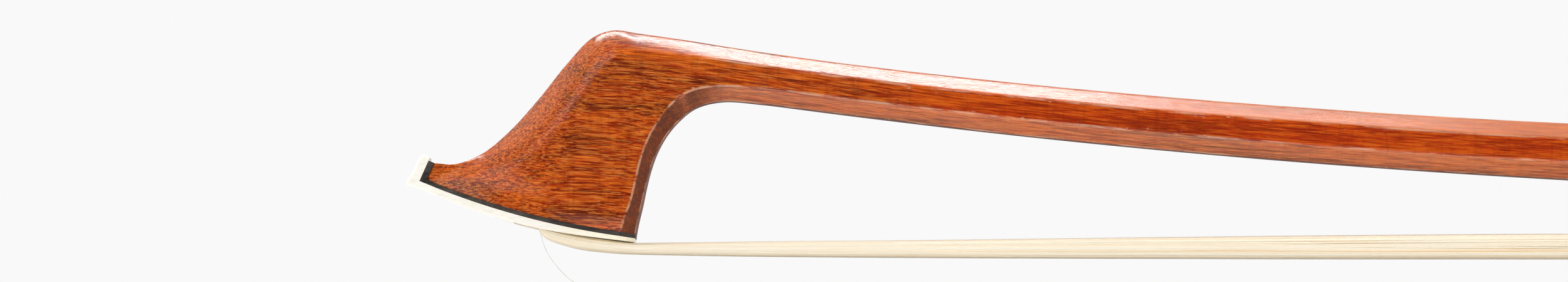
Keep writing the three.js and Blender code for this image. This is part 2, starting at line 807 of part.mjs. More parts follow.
// The eyelet: a round-topped block on the screw, and a shank down into the frog.
function eyelet() {
  const half = eyeletWidth / 2;
  const low = -handleWidth / 2;
  const section = new THREE.Shape();
  section.moveTo(-half, low);
  section.lineTo(half, low);
  section.absarc(0, eyeletTop - half, half, 0, Math.PI);
  const block = alongHandle(section, eyeletPlace - eyeletLength / 2, eyeletPlace + eyeletLength / 2);
  const shank = rodUp(eyeletShankRadius, eyeletPlace, 0, low - eyeletShankLength, low + half / 2);
  const thread = rodAlong(holeRadius(screwRadius, glueGap), 0, screwTip + overrun);
  return cut(block.add(shank), thread);
}

// The pearl slide is a dovetail: it widens inwards from the frog's bottom.
function slideSection(low, high, gap) {
  const half = (z) => slideHalfWidth + dovetailShare * (z - frogBottom) + gap;
  return [
    [half(low), low],
    [half(high), high],
    [-half(high), high],
    [-half(low), low],
  ];
}
const slideFront = ferruleBack - runningGap;
const pearlTop = backingBottom - glueGap;
const pearlSlide = () => alongHandle(slideSection(frogBottom, pearlTop, 0), slideBack, slideFront);
const slideBacking = () => alongHandle(slideSection(backingBottom, slideTop, 0), slideBack, slideFront);

// Pins of the heel plates, two in the back plate and two in the bottom one.
const backPinShares = [0.42, 0.84]; // up the back plate
const bottomPinShare = 0.7; // along the bottom plate
const bottomPinSpread = 0.28; // across the frog
const bottomPinShares = [-bottomPinSpread, bottomPinSpread];

function heelPin(index, radius, runout = 0) {
  if (index < backPinShares.length) {
    const z = frogBottom + heelPlateHeight * backPinShares[index];
    return rodAlong(radius, frogHeel - runout, frogHeel + heelPinLength + runout / 2, 0, z);
  }
  const y = frogWidth * bottomPinShares[index - backPinShares.length];
  const t = frogHeel + heelPlateLength * bottomPinShare;
  return rodUp(radius, t, y, frogBottom - runout, frogBottom + heelPinLength + runout / 2);
}
const heelPinIndices = [0, 1, 2, 3];

function heelPinHoles() {
  const radius = holeRadius(heelPinRadius, glueGap);
  return heelPinIndices.map((index) => heelPin(index, radius, glueGap));
}

// The back plate turns round the heel, and the bottom plate meets it where its curve ends.
const heelCentre = { x: -frogHeel - heelRound, z: frogBottom + heelRound };

function heelPlateBack() {
  const top = frogBottom + heelPlateHeight - glueGap;
  const { x, z } = heelCentre;
  const shape = new THREE.Shape();
  shape.moveTo(-frogHeel, top);
  shape.lineTo(-frogHeel, z);
  shape.absarc(x, z, heelRound, 0, -Math.PI / 2, true);
  shape.lineTo(x, frogBottom + heelPlateThickness);
  shape.absarc(x, z, heelRound - heelPlateThickness, -Math.PI / 2, 0, false);
  shape.lineTo(-frogHeel - heelPlateThickness, top);
  return cut(acrossWidth(shape, frogWidth), ...heelPinHoles());
}

function heelPlateBottom() {
  const from = frogHeel + heelRound + glueGap;
  const to = frogHeel + heelPlateLength;
  const plate = box(frogWidth, from, to, frogBottom, frogBottom + heelPlateThickness);
  return cut(plate, ...heelPinHoles());
}

// The eye in each side of the frog: a pearl disc with a ring set round it, ebony between them.
function eyeDisc(side, radius, depth, runout = 0) {
  const face = frogWidth / 2;
  const [low, high] = side > 0 ? [face - depth, face + runout] : [-face - runout, depth - face];
  return rodAcross(radius, -eyePlace, -eyeDrop, low, high);
}

function eyeRing(side, gap = 0, runout = 0) {
  const outer = eyeDisc(side, holeRadius(eyeRingOuter, gap), eyeDepth + gap, runout);
  return cut(outer, eyeDisc(side, eyeRingInner - gap, eyeDepth + overrun, overrun));
}

// The frog's side view: heel, rebates for the heel plates, bottom, shoulder behind the ferrule, throat, lip.
const throatShares = [0.15, 0.1]; // how soon the throat turns at its foot and at its lip

function frogSide() {
  const rebate = heelPlateThickness + glueGap;
  const shoulder = frogBottom + ferruleHeight;
  const throat = lipUnder - shoulder;
  const lipTop = -frogInside;
  const shape = new THREE.Shape();
  shape.moveTo(-frogHeel, -railDrop);
  shape.lineTo(-frogHeel, frogBottom + heelPlateHeight);
  shape.lineTo(-frogHeel - rebate, frogBottom + heelPlateHeight);
  shape.lineTo(-frogHeel - rebate, heelCentre.z);
  shape.absarc(heelCentre.x, heelCentre.z, heelRound - rebate, 0, -Math.PI / 2, true);
  shape.lineTo(-slideBack, frogBottom + rebate);
  shape.lineTo(-slideBack, frogBottom);
  shape.lineTo(-ferruleBack, frogBottom);
  shape.lineTo(-ferruleBack, shoulder);
  shape.bezierCurveTo(
    throatDepth - ferruleBack,
    shoulder + throat * throatShares[0],
    throatDepth - ferruleBack,
    lipUnder - throat * throatShares[1],
    -ferruleBack - throatDepth / 2,
    lipUnder,
  );
  shape.lineTo(-railLip, lipUnder + railLipHeight / 3);
  shape.lineTo(-railLip, lipTop);
  shape.lineTo(railLipSlant - railLip, -railDrop);
  return shape;
}

function frogBody() {
  const block = acrossWidth(frogSide(), frogWidth);
  const tongueRoom = alongHandle(ferruleOutline(ferruleWall + glueGap), ferruleBack - glueGap, tongueFront);
  const below = frogBottom - overrun;
  const tongue = cut(tongueRoom, box(ferruleWidth, ferruleBack - glueGap, ferruleFront, below, channelRoof));
  const stickRoom = alongHandle(octagon(frogInside * 2), frogHeel - overrun, railLip + overrun);
  const slideRoom = alongHandle(
    slideSection(below, slideTop + runningGap, runningGap),
    slideBack - glueGap,
    ferruleBack + overrun,
  );
  const channel = box(channelHalfWidth * 2, mortiseBack, ferruleFront, slideTop, channelRoof);
  const mortise = box(mortiseHalfWidth * 2, mortiseBack, mortiseFront, slideTop, mortiseRoof);
  const shankRoom = rodUp(shankHole, eyeletPlace, 0, -handleWidth / 2 - eyeletShankLength - glueGap, 0);
  const screwRooms = slideScrewPlaces.map((t) =>
    rodUp(holeRadius(slideScrewRadius, glueGap), t, 0, -slideInside - slideScrewLength - glueGap, 0),
  );
  const eyeRooms = [-1, 1].flatMap((side) => [
    eyeDisc(side, holeRadius(eyeRadius, glueGap), eyeDepth + glueGap, overrun),
    eyeRing(side, glueGap, overrun),
  ]);
  return cut(
    block.add(tongue),
    stickRoom,
    slideRoom,
    channel,
    mortise,
    shankRoom,
    ...screwRooms,
    ...eyeRooms,
    ...heelPinHoles(),
  );
}

// The wedge that closes the frog's mortise behind the hair.
function frogPlug() {
  const front = frogRootPlace - hairMouthThickness / 2 - runningGap;
  const top = frogKnotHeight - frogKnotRadius - runningGap;
  const width = (mortiseHalfWidth - glueGap) * 2;
  return box(width, mortiseBack + glueGap, front, slideTop + glueGap, top);
}

function frogKnot() {
  const place = mortiseFront - runningGap - frogKnotRadius;
  return rodAcross(frogKnotRadius, -place, frogKnotHeight, -hairKnotWidth / 2, hairKnotWidth / 2);
}

// A form with eight flats round the handle's axis, from pairs of half width across the flats and distance.
function faceted(profile) {
  const halfTurn = Math.PI / facetCount;
  const corners = profile.map(([half, t]) => [half / Math.cos(halfTurn), t]);
  return turned(corners, facetCount, halfTurn);
}

// A turned form from pairs of radius and distance from the button's end, closed on the axis.
function turned(profile, sides = roundSides, start = 0) {
  const ends = [[0, profile[0][1]], ...profile, [0, profile.at(-1)[1]]];
  const points = ends.map((pair) => new THREE.Vector2(...pair));
  const geometry = new THREE.LatheGeometry(points, sides, start);
  geometry.rotateZ(Math.PI / 2);
  return solid(geometry);
}

// Button: ebony core, a ring at each end held by pins, pearl eye flush in the end
const buttonHalf = buttonWidth / 2;
const ringBore = buttonHalf - buttonRingWall;
const ringEdge = buttonRingWall / 2; // rounding of the rings' edges
const waistShare = 0.94; // the core's waist against the rings
const coreBack = buttonRingLength + glueGap;
const coreFront = buttonLength - buttonRingLength - glueGap;
const tangStart = buttonEyeThickness + buttonRingWall;
const tangEnd = stickEnd - nippleLength - runningGap;

function ringPin(ring, side, radius, runout = 0) {
  const middle = ring === "back" ? buttonRingLength / 2 : buttonLength - buttonRingLength / 2;
  const [low, high] = [buttonHalf - buttonPinLength - runout, buttonHalf - ringEdge / 2 + runout];
  return rodAcross(radius, -middle, 0, side > 0 ? low : -high, side > 0 ? high : -low);
}

function ringPinHoles(ring) {
  const radius = holeRadius(buttonPinRadius, glueGap);
  return [-1, 1].map((side) => ringPin(ring, side, radius, glueGap));
}

function buttonRing(ring) {
  const from = ring === "back" ? 0 : buttonLength - buttonRingLength;
  const to = from + buttonRingLength;
  const outside = faceted([
    [buttonHalf - ringEdge, from],
    [buttonHalf, from + ringEdge],
    [buttonHalf, to - ringEdge],
    [buttonHalf - ringEdge, to],
  ]);
  return cut(outside, rodAlong(ringBore, from - overrun, to + overrun), ...ringPinHoles(ring));
}

function buttonCore() {
  const middle = faceted([
    [buttonHalf, coreBack],
    [buttonHalf * waistShare, (coreBack + coreFront) / 2],
    [buttonHalf, coreFront],
  ]);
  const spigot = rodAlong(ringBore - glueGap, 0, buttonLength);
  const eyeRoom = rodAlong(holeRadius(buttonEyeRadius, glueGap), -overrun, buttonEyeThickness + glueGap);
  const tangRoom = box(
    screwTang + 2 * glueGap,
    tangStart - glueGap,
    buttonLength + overrun,
    -screwTang / 2 - glueGap,
    screwTang / 2 + glueGap,
  );
  const nippleRoom = rodAlong(holeRadius(nippleRadius, boreGap), tangEnd, buttonLength + overrun);
  const pinRooms = ["back", "front"].flatMap((ring) => ringPinHoles(ring));
  return cut(middle.add(spigot), eyeRoom, tangRoom, nippleRoom, ...pinRooms);
}

// The screw: a square tang in the button, a threaded length for the eyelet, then a thinner pilot.
function screw() {
  const shaft = turned([
    [screwRadius, tangEnd + glueGap],
    [screwRadius, threadEnd],
    [pilotRadius, threadEnd + screwRadius],
    [pilotRadius, screwTip - screwRadius],
    [pilotRadius / 2, screwTip],
  ]);
  return shaft.add(box(screwTang, tangStart, tangEnd + screwRadius, -screwTang / 2, screwTang / 2));
}

// A sleeve round the handle whose ends are thinned down.
function sleeve(from, length, thickness) {
  const inside = handleWidth / 2 + glueGap;
  const outside = faceted([
    [inside + thickness / 2, from],
    [inside + thickness, from + thickness],
    [inside + thickness, from + length - thickness],
    [inside + thickness / 2, from + length],
  ]);
  return cut(outside, alongHandle(octagon(inside * 2), from - overrun, from + length + overrun));
}

// Pieces drawn in side view, and pieces drawn along the handle
const drawn = new THREE.Group();
drawn.position.set(-bowLength, 0, -buttonHeight);
drawn.add(
  mesh("stick", finishes.pernambuco, stickBody()),
  mesh("tip_liner", finishes.ebony, tipLiner()),
  mesh("tip_plate", finishes.bone, tipPlate()),
  mesh("head_plug", finishes.maple, headPlug()),
  mesh("head_knot", finishes.thread, headKnot()),
  mesh("hair", finishes.hair, hairRibbon()),
);

const handle = new THREE.Group();
handle.rotation.y = -handleTilt;
const windingStart = leatherStart + leatherLength + glueGap;
handle.add(
  mesh("thumb_leather", finishes.leather, sleeve(leatherStart, leatherLength, leatherThickness)),
  mesh("winding", finishes.silver, sleeve(windingStart, windingLength, windingThickness)),
  mesh("frog", finishes.ebony, frogBody()),
  mesh("underslide", finishes.silver, underslide()),
  mesh("eyelet", finishes.brass, eyelet()),
  mesh("ferrule", finishes.silver, ferrule()),
  mesh("spread_wedge", finishes.maple, spreadWedge()),
  mesh("frog_plug", finishes.maple, frogPlug()),
  mesh("frog_knot", finishes.thread, frogKnot()),
  mesh("pearl_slide", finishes.pearl, pearlSlide()),
  mesh("slide_backing", finishes.ebony, slideBacking()),
  mesh("heel_plate_back", finishes.silver, heelPlateBack()),
  mesh("heel_plate_bottom", finishes.silver, heelPlateBottom()),
  mesh("screw", finishes.steel, screw()),
  mesh("button_core", finishes.ebony, buttonCore()),
  mesh("button_eye", finishes.pearl, rodAlong(buttonEyeRadius, 0, buttonEyeThickness)),
);
heelPinIndices.forEach((index) => {
  handle.add(mesh(`heel_pin_${index + 1}`, finishes.silver, heelPin(index, heelPinRadius)));
});
slideScrewPlaces.forEach((t, index) => {
  handle.add(mesh(`underslide_screw_${index + 1}`, finishes.silver, undersideScrew(t)));
});
for (const [name, side] of [["left", 1], ["right", -1]]) {
  handle.add(
    mesh(`pearl_eye_${name}`, finishes.pearl, eyeDisc(side, eyeRadius, eyeDepth)),
    mesh(`eye_ring_${name}`, finishes.silver, eyeRing(side)),
  );
}
for (const ring of ["front", "back"]) {
  handle.add(
    mesh(`button_ring_${ring}`, finishes.silver, buttonRing(ring)),
    mesh(`button_pin_${ring}_left`, finishes.silver, ringPin(ring, 1, buttonPinRadius)),
    mesh(`button_pin_${ring}_right`, finishes.silver, ringPin(ring, -1, buttonPinRadius)),
  );
}

const bow = new THREE.Group();
bow.add(drawn, handle);
export default bow;
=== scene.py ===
import bpy
import numpy as np
from mathutils import Matrix, Vector


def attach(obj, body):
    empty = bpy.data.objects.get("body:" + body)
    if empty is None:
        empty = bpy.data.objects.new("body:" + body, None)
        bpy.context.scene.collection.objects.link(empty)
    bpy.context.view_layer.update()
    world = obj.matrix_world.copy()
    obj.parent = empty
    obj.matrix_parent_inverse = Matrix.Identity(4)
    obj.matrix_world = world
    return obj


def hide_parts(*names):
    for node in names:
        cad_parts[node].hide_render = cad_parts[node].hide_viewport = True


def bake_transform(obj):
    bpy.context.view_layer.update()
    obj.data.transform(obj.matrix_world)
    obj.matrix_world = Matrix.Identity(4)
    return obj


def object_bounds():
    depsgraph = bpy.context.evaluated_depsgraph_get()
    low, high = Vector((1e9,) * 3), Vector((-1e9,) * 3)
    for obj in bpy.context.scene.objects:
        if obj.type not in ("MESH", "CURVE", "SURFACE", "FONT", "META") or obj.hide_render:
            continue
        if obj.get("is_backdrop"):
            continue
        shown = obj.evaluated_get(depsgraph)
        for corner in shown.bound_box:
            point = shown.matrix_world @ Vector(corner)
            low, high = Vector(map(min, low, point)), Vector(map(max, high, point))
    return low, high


# A slack cello bow: carved head, cambered stick, tip plate, loose hair, frog, grip and button.
# Shapes are worked out in millimetres. s runs from the beak along the hair, h is height over it.
# Along the straight handle, t runs from the button's end and z is the height over the axis.
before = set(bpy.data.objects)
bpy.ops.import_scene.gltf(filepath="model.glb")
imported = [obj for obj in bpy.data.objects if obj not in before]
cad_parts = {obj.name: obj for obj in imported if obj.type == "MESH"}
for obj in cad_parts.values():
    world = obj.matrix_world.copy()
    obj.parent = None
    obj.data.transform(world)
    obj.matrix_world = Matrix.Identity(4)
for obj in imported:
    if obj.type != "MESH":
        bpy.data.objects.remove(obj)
cadBox = [list(corner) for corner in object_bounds()]
millimetre = 0.001

stick = {
    "length": 715.0,
    "handleLength": 175.0,
    "neckWidth": 6.2,
    "handleWidth": 10.0,
    "taperStart": 60.0,
    "neckEnd": 48.0,
    "guideEnd": 60.0,
    "camberRise": 0.06,  # slope that the curve settles to
    "camberDrop": 0.1995,  # slope that fades along the curve
    "camberReach": 173.0,
    "endGap": 14.8,  # from the button's end to the stick's end
    "ridgeRound": 0.3,  # how far the ridges are rubbed round
    "grainStart": 40.0,  # where the grain stops following the curve and runs on into the head
    "headSteps": 17,
    "stickStep": 1.7,
    "handleStep": 7.0,
}
head = {
    "length": 27.6,
    "height": 26.6,
    "chamfer": 1.75,
    "plateHalf": 5.8,
    "plateHeel": 1.05,
    "plateRise": 7.25,
    "plateBow": 0.57,
    "plateRun": 26.04,
    "linerUp": 2.55,
    "linerForward": 0.65,  # the liner's thickness on the beak
    "linerFillet": 0.17,  # fills the inner corner under the beak's wood
    "hook": 1.28,
    "hookHeight": 2.95,
    "noseReach": 0.2,
    "noseDrop": 0.2,
    "glue": 0.05,
    "beakTop": 0.28,
    "woodDrop": (-0.59, -0.3),  # from heel to beak, how far each line lies outside the plate's
    "linerDrop": (-0.15, 0.12),
    "plateDrop": (0.4, 0.98),
    "mortise": ((12.8, -3.0, -1.0), (17.78, 3.0, 9.0)),  # two corners in s, y and h
}
neckPlace = head["length"] * 1.514
neckHeight = head["height"] * 0.786
handleStart = stick["length"] - stick["handleLength"]
cornerShare = 1 / (2 + np.sqrt(2))  # where an octagon's corners lie across its depth
facetShare = np.sqrt(2) - 1


def camberFade(s):
    return np.exp((neckPlace - s) / stick["camberReach"])


# Slope = settled rise less a drop that fades as exp(-distance / reach), constant along the handle.
def stickSlope(s):
    fade = camberFade(np.minimum(s, handleStart))
    return stick["camberRise"] - stick["camberDrop"] * fade


# The slope's integral from the neck.
def stickHeight(s):
    curved = np.minimum(s, handleStart)
    rise = stick["camberRise"] * (curved - neckPlace)
    drop = stick["camberDrop"] * stick["camberReach"] * (1 - camberFade(curved))
    return neckHeight + rise - drop + (s - curved) * stickSlope(handleStart)


def stickWidth(s):
    start = stick["taperStart"]
    share = np.clip((s - start) / (handleStart - start), 0, 1)
    return stick["neckWidth"] + share * (stick["handleWidth"] - stick["neckWidth"])


handleTilt = np.arctan(stickSlope(handleStart))
buttonHeight = stickHeight(stick["length"])


# Side view to the frame: x = s - length, z = h - the button's height, in metres.
def fromSide(s, y, h):
    s, y, h = np.broadcast_arrays(s, y, h)
    return np.stack([s - stick["length"], y, h - buttonHeight], -1) * millimetre


# Handle to the frame: t runs against X and the whole is turned by the handle's tilt.
def fromHandle(t, y, z):
    t, y, z = np.broadcast_arrays(t, y, z)
    cosine, sine = np.cos(handleTilt), np.sin(handleTilt)
    return np.stack([-t * cosine - z * sine, y, z * cosine - t * sine], -1) * millimetre


def smooth(value, low, high):
    share = np.clip((value - low) / (high - low), 0, 1)
    return share * share * (3 - 2 * share)


# Centripetal Catmull-Rom curve: knots stand the square root of the points' distance apart, and
# ends are mirrored.
def curveThrough(points, places):
    index = np.clip(np.floor(places).astype(int), 0, len(points) - 2)
    weight = (places - index)[:, None]
    padded = np.vstack([2 * points[0] - points[1], points, 2 * points[-1] - points[-2]])
    before, start, end, after = (padded[index + offset] for offset in range(4))
    pairs = ((before, start), (start, end), (end, after))
    gaps = [np.sqrt(np.linalg.norm(b - a, axis=1))[:, None] for a, b in pairs]
    gaps[1] = np.where(gaps[1] < 0.0001, 1, gaps[1])  # repeated points
    first, middle, last = (np.where(gap < 0.0001, gaps[1], gap) for gap in gaps)
    step = (end - start) / middle
    tangentIn = ((start - before) / first - (end - before) / (first + middle) + step) * middle
    tangentOut = (step - (after - start) / (middle + last) + (after - end) / last) * middle
    square = 3 * (end - start) - 2 * tangentIn - tangentOut
    cube = 2 * (start - end) + tangentIn + tangentOut
    return start + weight * (tangentIn + weight * (square + weight * cube))


# Meshes
def newObject(name, data):
    made = bpy.data.objects.new(name, data)
    bpy.context.scene.collection.objects.link(made)
    return made


def newPiece(name, points, faces, material, body=None, slotName=None, node=None):
    mesh = bpy.data.meshes.new(name)
    mesh.from_pydata(np.reshape(points, (-1, 3)).tolist(), [], np.asarray(faces).tolist())
    mesh.shade_smooth()
    mesh.update()
    mesh.materials.append(material)
    piece = newObject(name, mesh)
    if body:
        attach(piece, body)
    if node:
        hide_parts(node)
    return piece


# Faces of a closed skin over rings: quads between rings, then a strip of quads across each end,
# or, if it is looped, quads from the last ring back to the first.
def skinFaces(rings, around, looped=False):
    ring = np.arange(rings if looped else rings - 1)[:, None]
    corner = np.arange(around)[None, :]
    nextRing, nextCorner = (ring + 1) % rings * around, (corner + 1) % around
    ring = ring * around
    quads = [ring + corner, ring + nextCorner, nextRing + nextCorner, nextRing + corner]
    faces = np.stack(quads, -1).reshape(-1, 4)
    if looped:
        return faces
    row = np.arange(around // 2 - 1)
    mate = around - 1 - row
    last = (rings - 1) * around
    start = np.stack([mate, mate - 1, row + 1, row], -1)
    end = np.stack([last + row, last + row + 1, last + mate - 1, last + mate], -1)
    return np.vstack([faces, start, end])


# Six times the signed volume tells whether the faces point out; if not, they are turned round.
def facedOut(points, faces):
    first, second, third, fourth = np.moveaxis(np.reshape(points, (-1, 3))[faces], 1, 0)
    volume = np.sum(first * (np.cross(second, third) + np.cross(third, fourth)))
    return faces if volume > 0 else faces[:, ::-1]


def skinPiece(name, rings, *settings):
    return newPiece(name, rings, facedOut(rings, skinFaces(*rings.shape[:2])), *settings)


def addAttribute(piece, name, values):
    kind, field = ("FLOAT", "value") if values.ndim == 1 else ("FLOAT_VECTOR", "vector")
    piece.data.attributes.new(name, kind, "POINT").data.foreach_set(field, values.ravel())


# Materials
def srgb(red, green, blue):
    levels = np.array([red, green, blue]) / 255
    linear = np.where(levels <= 0.04045, levels / 12.92, ((levels + 0.055) / 1.055) ** 2.4)
    return (*linear.tolist(), 1.0)


# Nodes of one tree. Every input takes a plain value or another node's output.
class NodeTree:
    def __init__(self, tree, space=None):
        self.tree = tree
        self.space = space  # an attribute that places the patterns instead of Object coordinates

    def feed(self, socket, value):
        if isinstance(value, bpy.types.NodeSocket):
            self.tree.links.new(value, socket)
        else:
            socket.default_value = value

    def node(self, kind, inputs=None, **settings):
        made = self.tree.nodes.new("ShaderNode" + kind)
        for key, value in settings.items():
            setattr(made, key, value)
        for socket, value in (inputs or {}).items():
            self.feed(made.inputs[socket], value)
        return made

    def attribute(self, name, output="Fac"):
        return self.node("Attribute", attribute_name=name).outputs[output]

    def coordinates(self, output="Object"):
        return self.node("TexCoord").outputs[output]

    def place(self, scale, turn=(0, 0, 0), shift=(0, 0, 0)):
        source = self.attribute(self.space, "Vector") if self.space else self.coordinates()
        inputs = {"Vector": source, "Scale": scale, "Rotation": turn, "Location": shift}
        return self.node("Mapping", inputs).outputs[0]

    def noise(self, scale, detail=3.0, rough=0.55, bend=0.0, turn=(0, 0, 0)):
        inputs = {"Vector": self.place(scale, turn), "Scale": 1.0, "Detail": detail,
                  "Roughness": rough, "Distortion": bend}
        return self.node("TexNoise", inputs).outputs["Fac"]

    def cells(self, scale):
        inputs = {"Vector": self.place(scale), "Scale": 1.0}
        return self.node("TexVoronoi", inputs, feature="DISTANCE_TO_EDGE").outputs["Distance"]

    def axes(self, vector):
        return self.node("SeparateXYZ", {0: vector}).outputs

    # A soft step: the source's low becomes toLow and its high becomes toHigh.
    def steps(self, source, low, high, toLow=0.0, toHigh=1.0):
        inputs = {"Value": source, "From Min": low, "From Max": high,
                  "To Min": toLow, "To Max": toHigh}
        return self.node("MapRange", inputs, interpolation_type="SMOOTHSTEP").outputs["Result"]

    def compute(self, operation, first, second):
        return self.node("Math", {0: first, 1: second}, operation=operation).outputs[0]

    def times(self, first, second):
        return self.compute("MULTIPLY", first, second)

    def larger(self, first, second):
        return self.compute("MAXIMUM", first, second)

    def blend(self, share, first, second):
        return self.node("Mix", {0: share, 6: first, 7: second}, data_type="RGBA").outputs[2]

    def mixShaders(self, share, first, second):
        return self.node("MixShader", {0: share, 1: first, 2: second}).outputs[0]

    # Lays colors over the base, each where its source goes from low to high, up to its amount.
    def layers(self, base, *layers):
        for source, low, high, amount, color in layers:
            base = self.blend(self.steps(source, low, high, 0, amount), base, color)
        return base

    # The stops' order is first, last and then those between.
    def ramp(self, source, *stops):
        made = self.node("ValToRGB", {0: source})
        elements = made.color_ramp.elements
        for number, (position, color) in enumerate(stops):
            element = elements[number] if number < 2 else elements.new(position)
            element.position = position
            element.color = color
        return made.outputs["Color"]


class Recipe(NodeTree):
    def __init__(self, name, space=None, **sockets):
        self.material = bpy.data.materials.new(name)
        self.material.use_nodes = True
        super().__init__(self.material.node_tree, space)
        self.shader = self.tree.nodes["Principled BSDF"]
        self.give(**sockets)

    def give(self, **sockets):
        for socket, value in sockets.items():
            self.feed(self.shader.inputs[socket.replace("_", " ")], value)

    # The roughness is a soft step too.
    def finish(self, color, rough, height, depth, strength=1.0, coat=False):
        inputs = {"Strength": strength, "Distance": depth, "Height": height}
        normal = self.node("Bump", inputs).outputs[0]
        self.give(Base_Color=color, Roughness=self.steps(*rough), Normal=normal)
        if coat:
            self.give(Coat_Normal=normal)
        return self.material


tones = {
    "deep": srgb(96, 24, 2),
    "body": srgb(172, 50, 1),
    "warm": srgb(202, 84, 6),
    "gold": srgb(218, 130, 58),
    "ember": srgb(222, 112, 20),
    "flame": srgb(192, 46, 0),  # the stick is redder than its head
    "pore": srgb(62, 18, 8),
    "endGrain": srgb(208, 126, 62),
    "endDark": srgb(112, 46, 20),
    "back": srgb(88, 52, 40),  # darker and greyer in the throat, where the varnish is dull
    "under": srgb(66, 36, 26),
    "paintedFloorReflection": srgb(198, 142, 116),  # painted reflection of the floor on the lower facets
    "top": srgb(202, 112, 22),  # painted light: lamplight scattered in the upper facets, tinted golden
    "edge": srgb(222, 178, 146),
}


# Pernambuco: bands, streaks and dashes stretched along the grain, faint bars across it, and
# flecks on the end grain.
def pernambucoMaterial():
    wood = Recipe("pernambuco", "grain",
                  Specular_IOR_Level=0.06, Coat_Roughness=0.08, Coat_IOR=1.5)
    noise, steps, times, larger = wood.noise, wood.steps, wood.times, wood.larger
    bands = noise((34, 420, 420), 4, 0.62, 0.4)
    streaks = noise((110, 2100, 2100), 5, 0.68, 0.3)
    lines = noise((290, 8400, 8400), 3, 0.6, 0.25)
    threads = noise((210, 4600, 4600), 4, 0.72, 0.3)
    fine = noise((560, 14500, 14500), 2, 0.6)
    bars = noise((1100, 240, 110), 3, 0.6, 0.8)
    facing = wood.axes(wood.coordinates("Normal"))
    along = wood.axes(wood.attribute("grain", "Vector"))["X"]
    deep, warm, ember = tones["deep"], tones["warm"], tones["ember"]
    # the head and the lower facets show more of the golden lines than the stick's sides
    lined = larger(steps(along, 0.04, 0.08, 1, 0.35), steps(facing["Z"], -0.2, -0.5, 0, 0.9))
    base = wood.layers(
        wood.ramp(bands, (0.36, deep), (0.66, warm), (0.5, tones["body"])),
        (streaks, 0.47, 0.36, 0.75, deep), (streaks, 0.52, 0.66, 0.6, warm),
        (threads, 0.5, 0.6, 0.65, ember), (threads, 0.49, 0.4, 0.7, deep))
    lineColor = wood.blend(steps(lined, 0.35, 0.85), ember, tones["gold"])
    base = wood.blend(times(lined, steps(lines, 0.47, 0.68, 0, 0.7)), base, lineColor)
    base = wood.layers(
        base, (lines, 0.46, 0.34, 0.6, deep), (lined, 0.85, 0.35, 0.3, tones["flame"]),
        (fine, 0.42, 0.3, 0.5, tones["pore"]), (bars, 0.48, 0.7, 0.22, deep))
    # painted light: golden upper facets and, as a painted reflection of the floor, pale lower ones
    paintedTopLight = times(steps(facing["Z"], 0.3, 0.6, 0, 0.5), steps(along, 0.03, 0.12))
    paintedTopLight = times(paintedTopLight, steps(streaks, 0.3, 0.5, 0.4, 1))
    below = times(steps(facing["Z"], -0.35, -0.6, 0, 0.3), steps(streaks, 0.35, 0.6, 0.5, 1))
    base = wood.blend(below, wood.blend(paintedTopLight, base, tones["top"]), tones["paintedFloorReflection"])
    # the front slope and the beak cut the grain's ends
    flecks = noise((3000, 4800, 3000), 3, 0.65, turn=(0, 0.6, 0))
    endColor = wood.layers(base, (flecks, 0.48, 0.66, 0.75, tones["endGrain"]),
                           (flecks, 0.48, 0.34, 0.8, tones["endDark"]))
    front = larger(steps(facing["X"], -0.16, -0.5, 0, 0.8), steps(along, 0.01, 0.004, 0, 0.75))
    base = wood.blend(front, base, endColor)
    # the varnish is dull in the throat and under the stick, and both are coloured darker
    dust = noise((900, 1600, 1600), 4, 0.7)
    under = steps(facing["Z"], -0.8, -0.92)
    inThroat = times(steps(facing["Z"], -0.45, -0.62), steps(along, 0.04, 0.034))
    inThroat = larger(steps(facing["X"], 0.3, 0.6), inThroat)
    dusted = times(inThroat, steps(dust, 0.35, 0.65, 0.7, 0.92))
    base = wood.blend(dusted, base, tones["back"])
    base = wood.blend(times(under, 0.85), base, tones["under"])
    dull = larger(inThroat, under)
    # the ridges are rubbed to a pale broken line, with a few chips beside them
    ridge = wood.attribute("ridge")
    rubs = noise((160, 700, 700), 4, 0.7)
    rubbed = times(steps(ridge, 0.6, 0.85), steps(rubs, 0.42, 0.6))
    chips = noise((620, 2100, 2100), 3, 0.6)
    chipped = times(steps(ridge, 0.15, 0.7), steps(chips, 0.66, 0.71))
    worn = times(larger(rubbed, chipped), 0.5)
    wood.give(Coat_Weight=steps(larger(dull, chipped), 0, 1, 1, 0.1))
    rough = wood.compute("ADD", dull, times(streaks, 0.3))
    height = wood.compute("ADD", times(lines, 0.3), times(chipped, -1.2))
    color = wood.blend(worn, base, tones["edge"])
    return wood.finish(color, (rough, 0, 1, 0.36, 0.75), height, 0.00003, coat=True)


# Ebony: near-black ground, brown streaks and short open pores along X, rubbed to a satin.
def ebonyMaterial(name, light, dark, rough, gloss):
    made = Recipe(name, Specular_IOR_Level=0.35, Coat_Weight=gloss, Coat_Roughness=0.18)
    streaks = made.noise((60, 1100, 1100), 4, 0.62, 0.3)
    pores = made.noise((420, 6500, 6500), 2)
    color = made.ramp(streaks, (0.35, dark), (0.7, light))
    color = made.layers(color, (pores, 0.58, 0.68, 0.7, srgb(10, 8, 7)))
    return made.finish(color, (pores, 0.3, 0.7, rough - 0.06, rough + 0.12), pores, 0.00002, 0.8)


# Tip plate: bone-white with faint fibres along the plate and a few clouds, yellower at its heel.
def tipWhiteMaterial():
    made = Recipe("tipWhite", Coat_Weight=0.2, Coat_Roughness=0.15)
    fibres = made.noise((260, 2600, 2600), 3, 0.6, turn=(0, 0.3, 0))
    clouds = made.noise((220, 220, 420))
    along = made.axes(made.coordinates())["X"]
    color = made.ramp(fibres, (0.3, srgb(238, 233, 220)), (0.65, srgb(247, 244, 236)))
    color = made.layers(color, (clouds, 0.55, 0.75, 0.5, srgb(236, 226, 202)),
                        (along, -0.7, -0.687, 0.75, srgb(250, 242, 208)))
    return made.finish(color, (fibres, 0.3, 0.7, 0.26, 0.4), fibres, 0.00001)


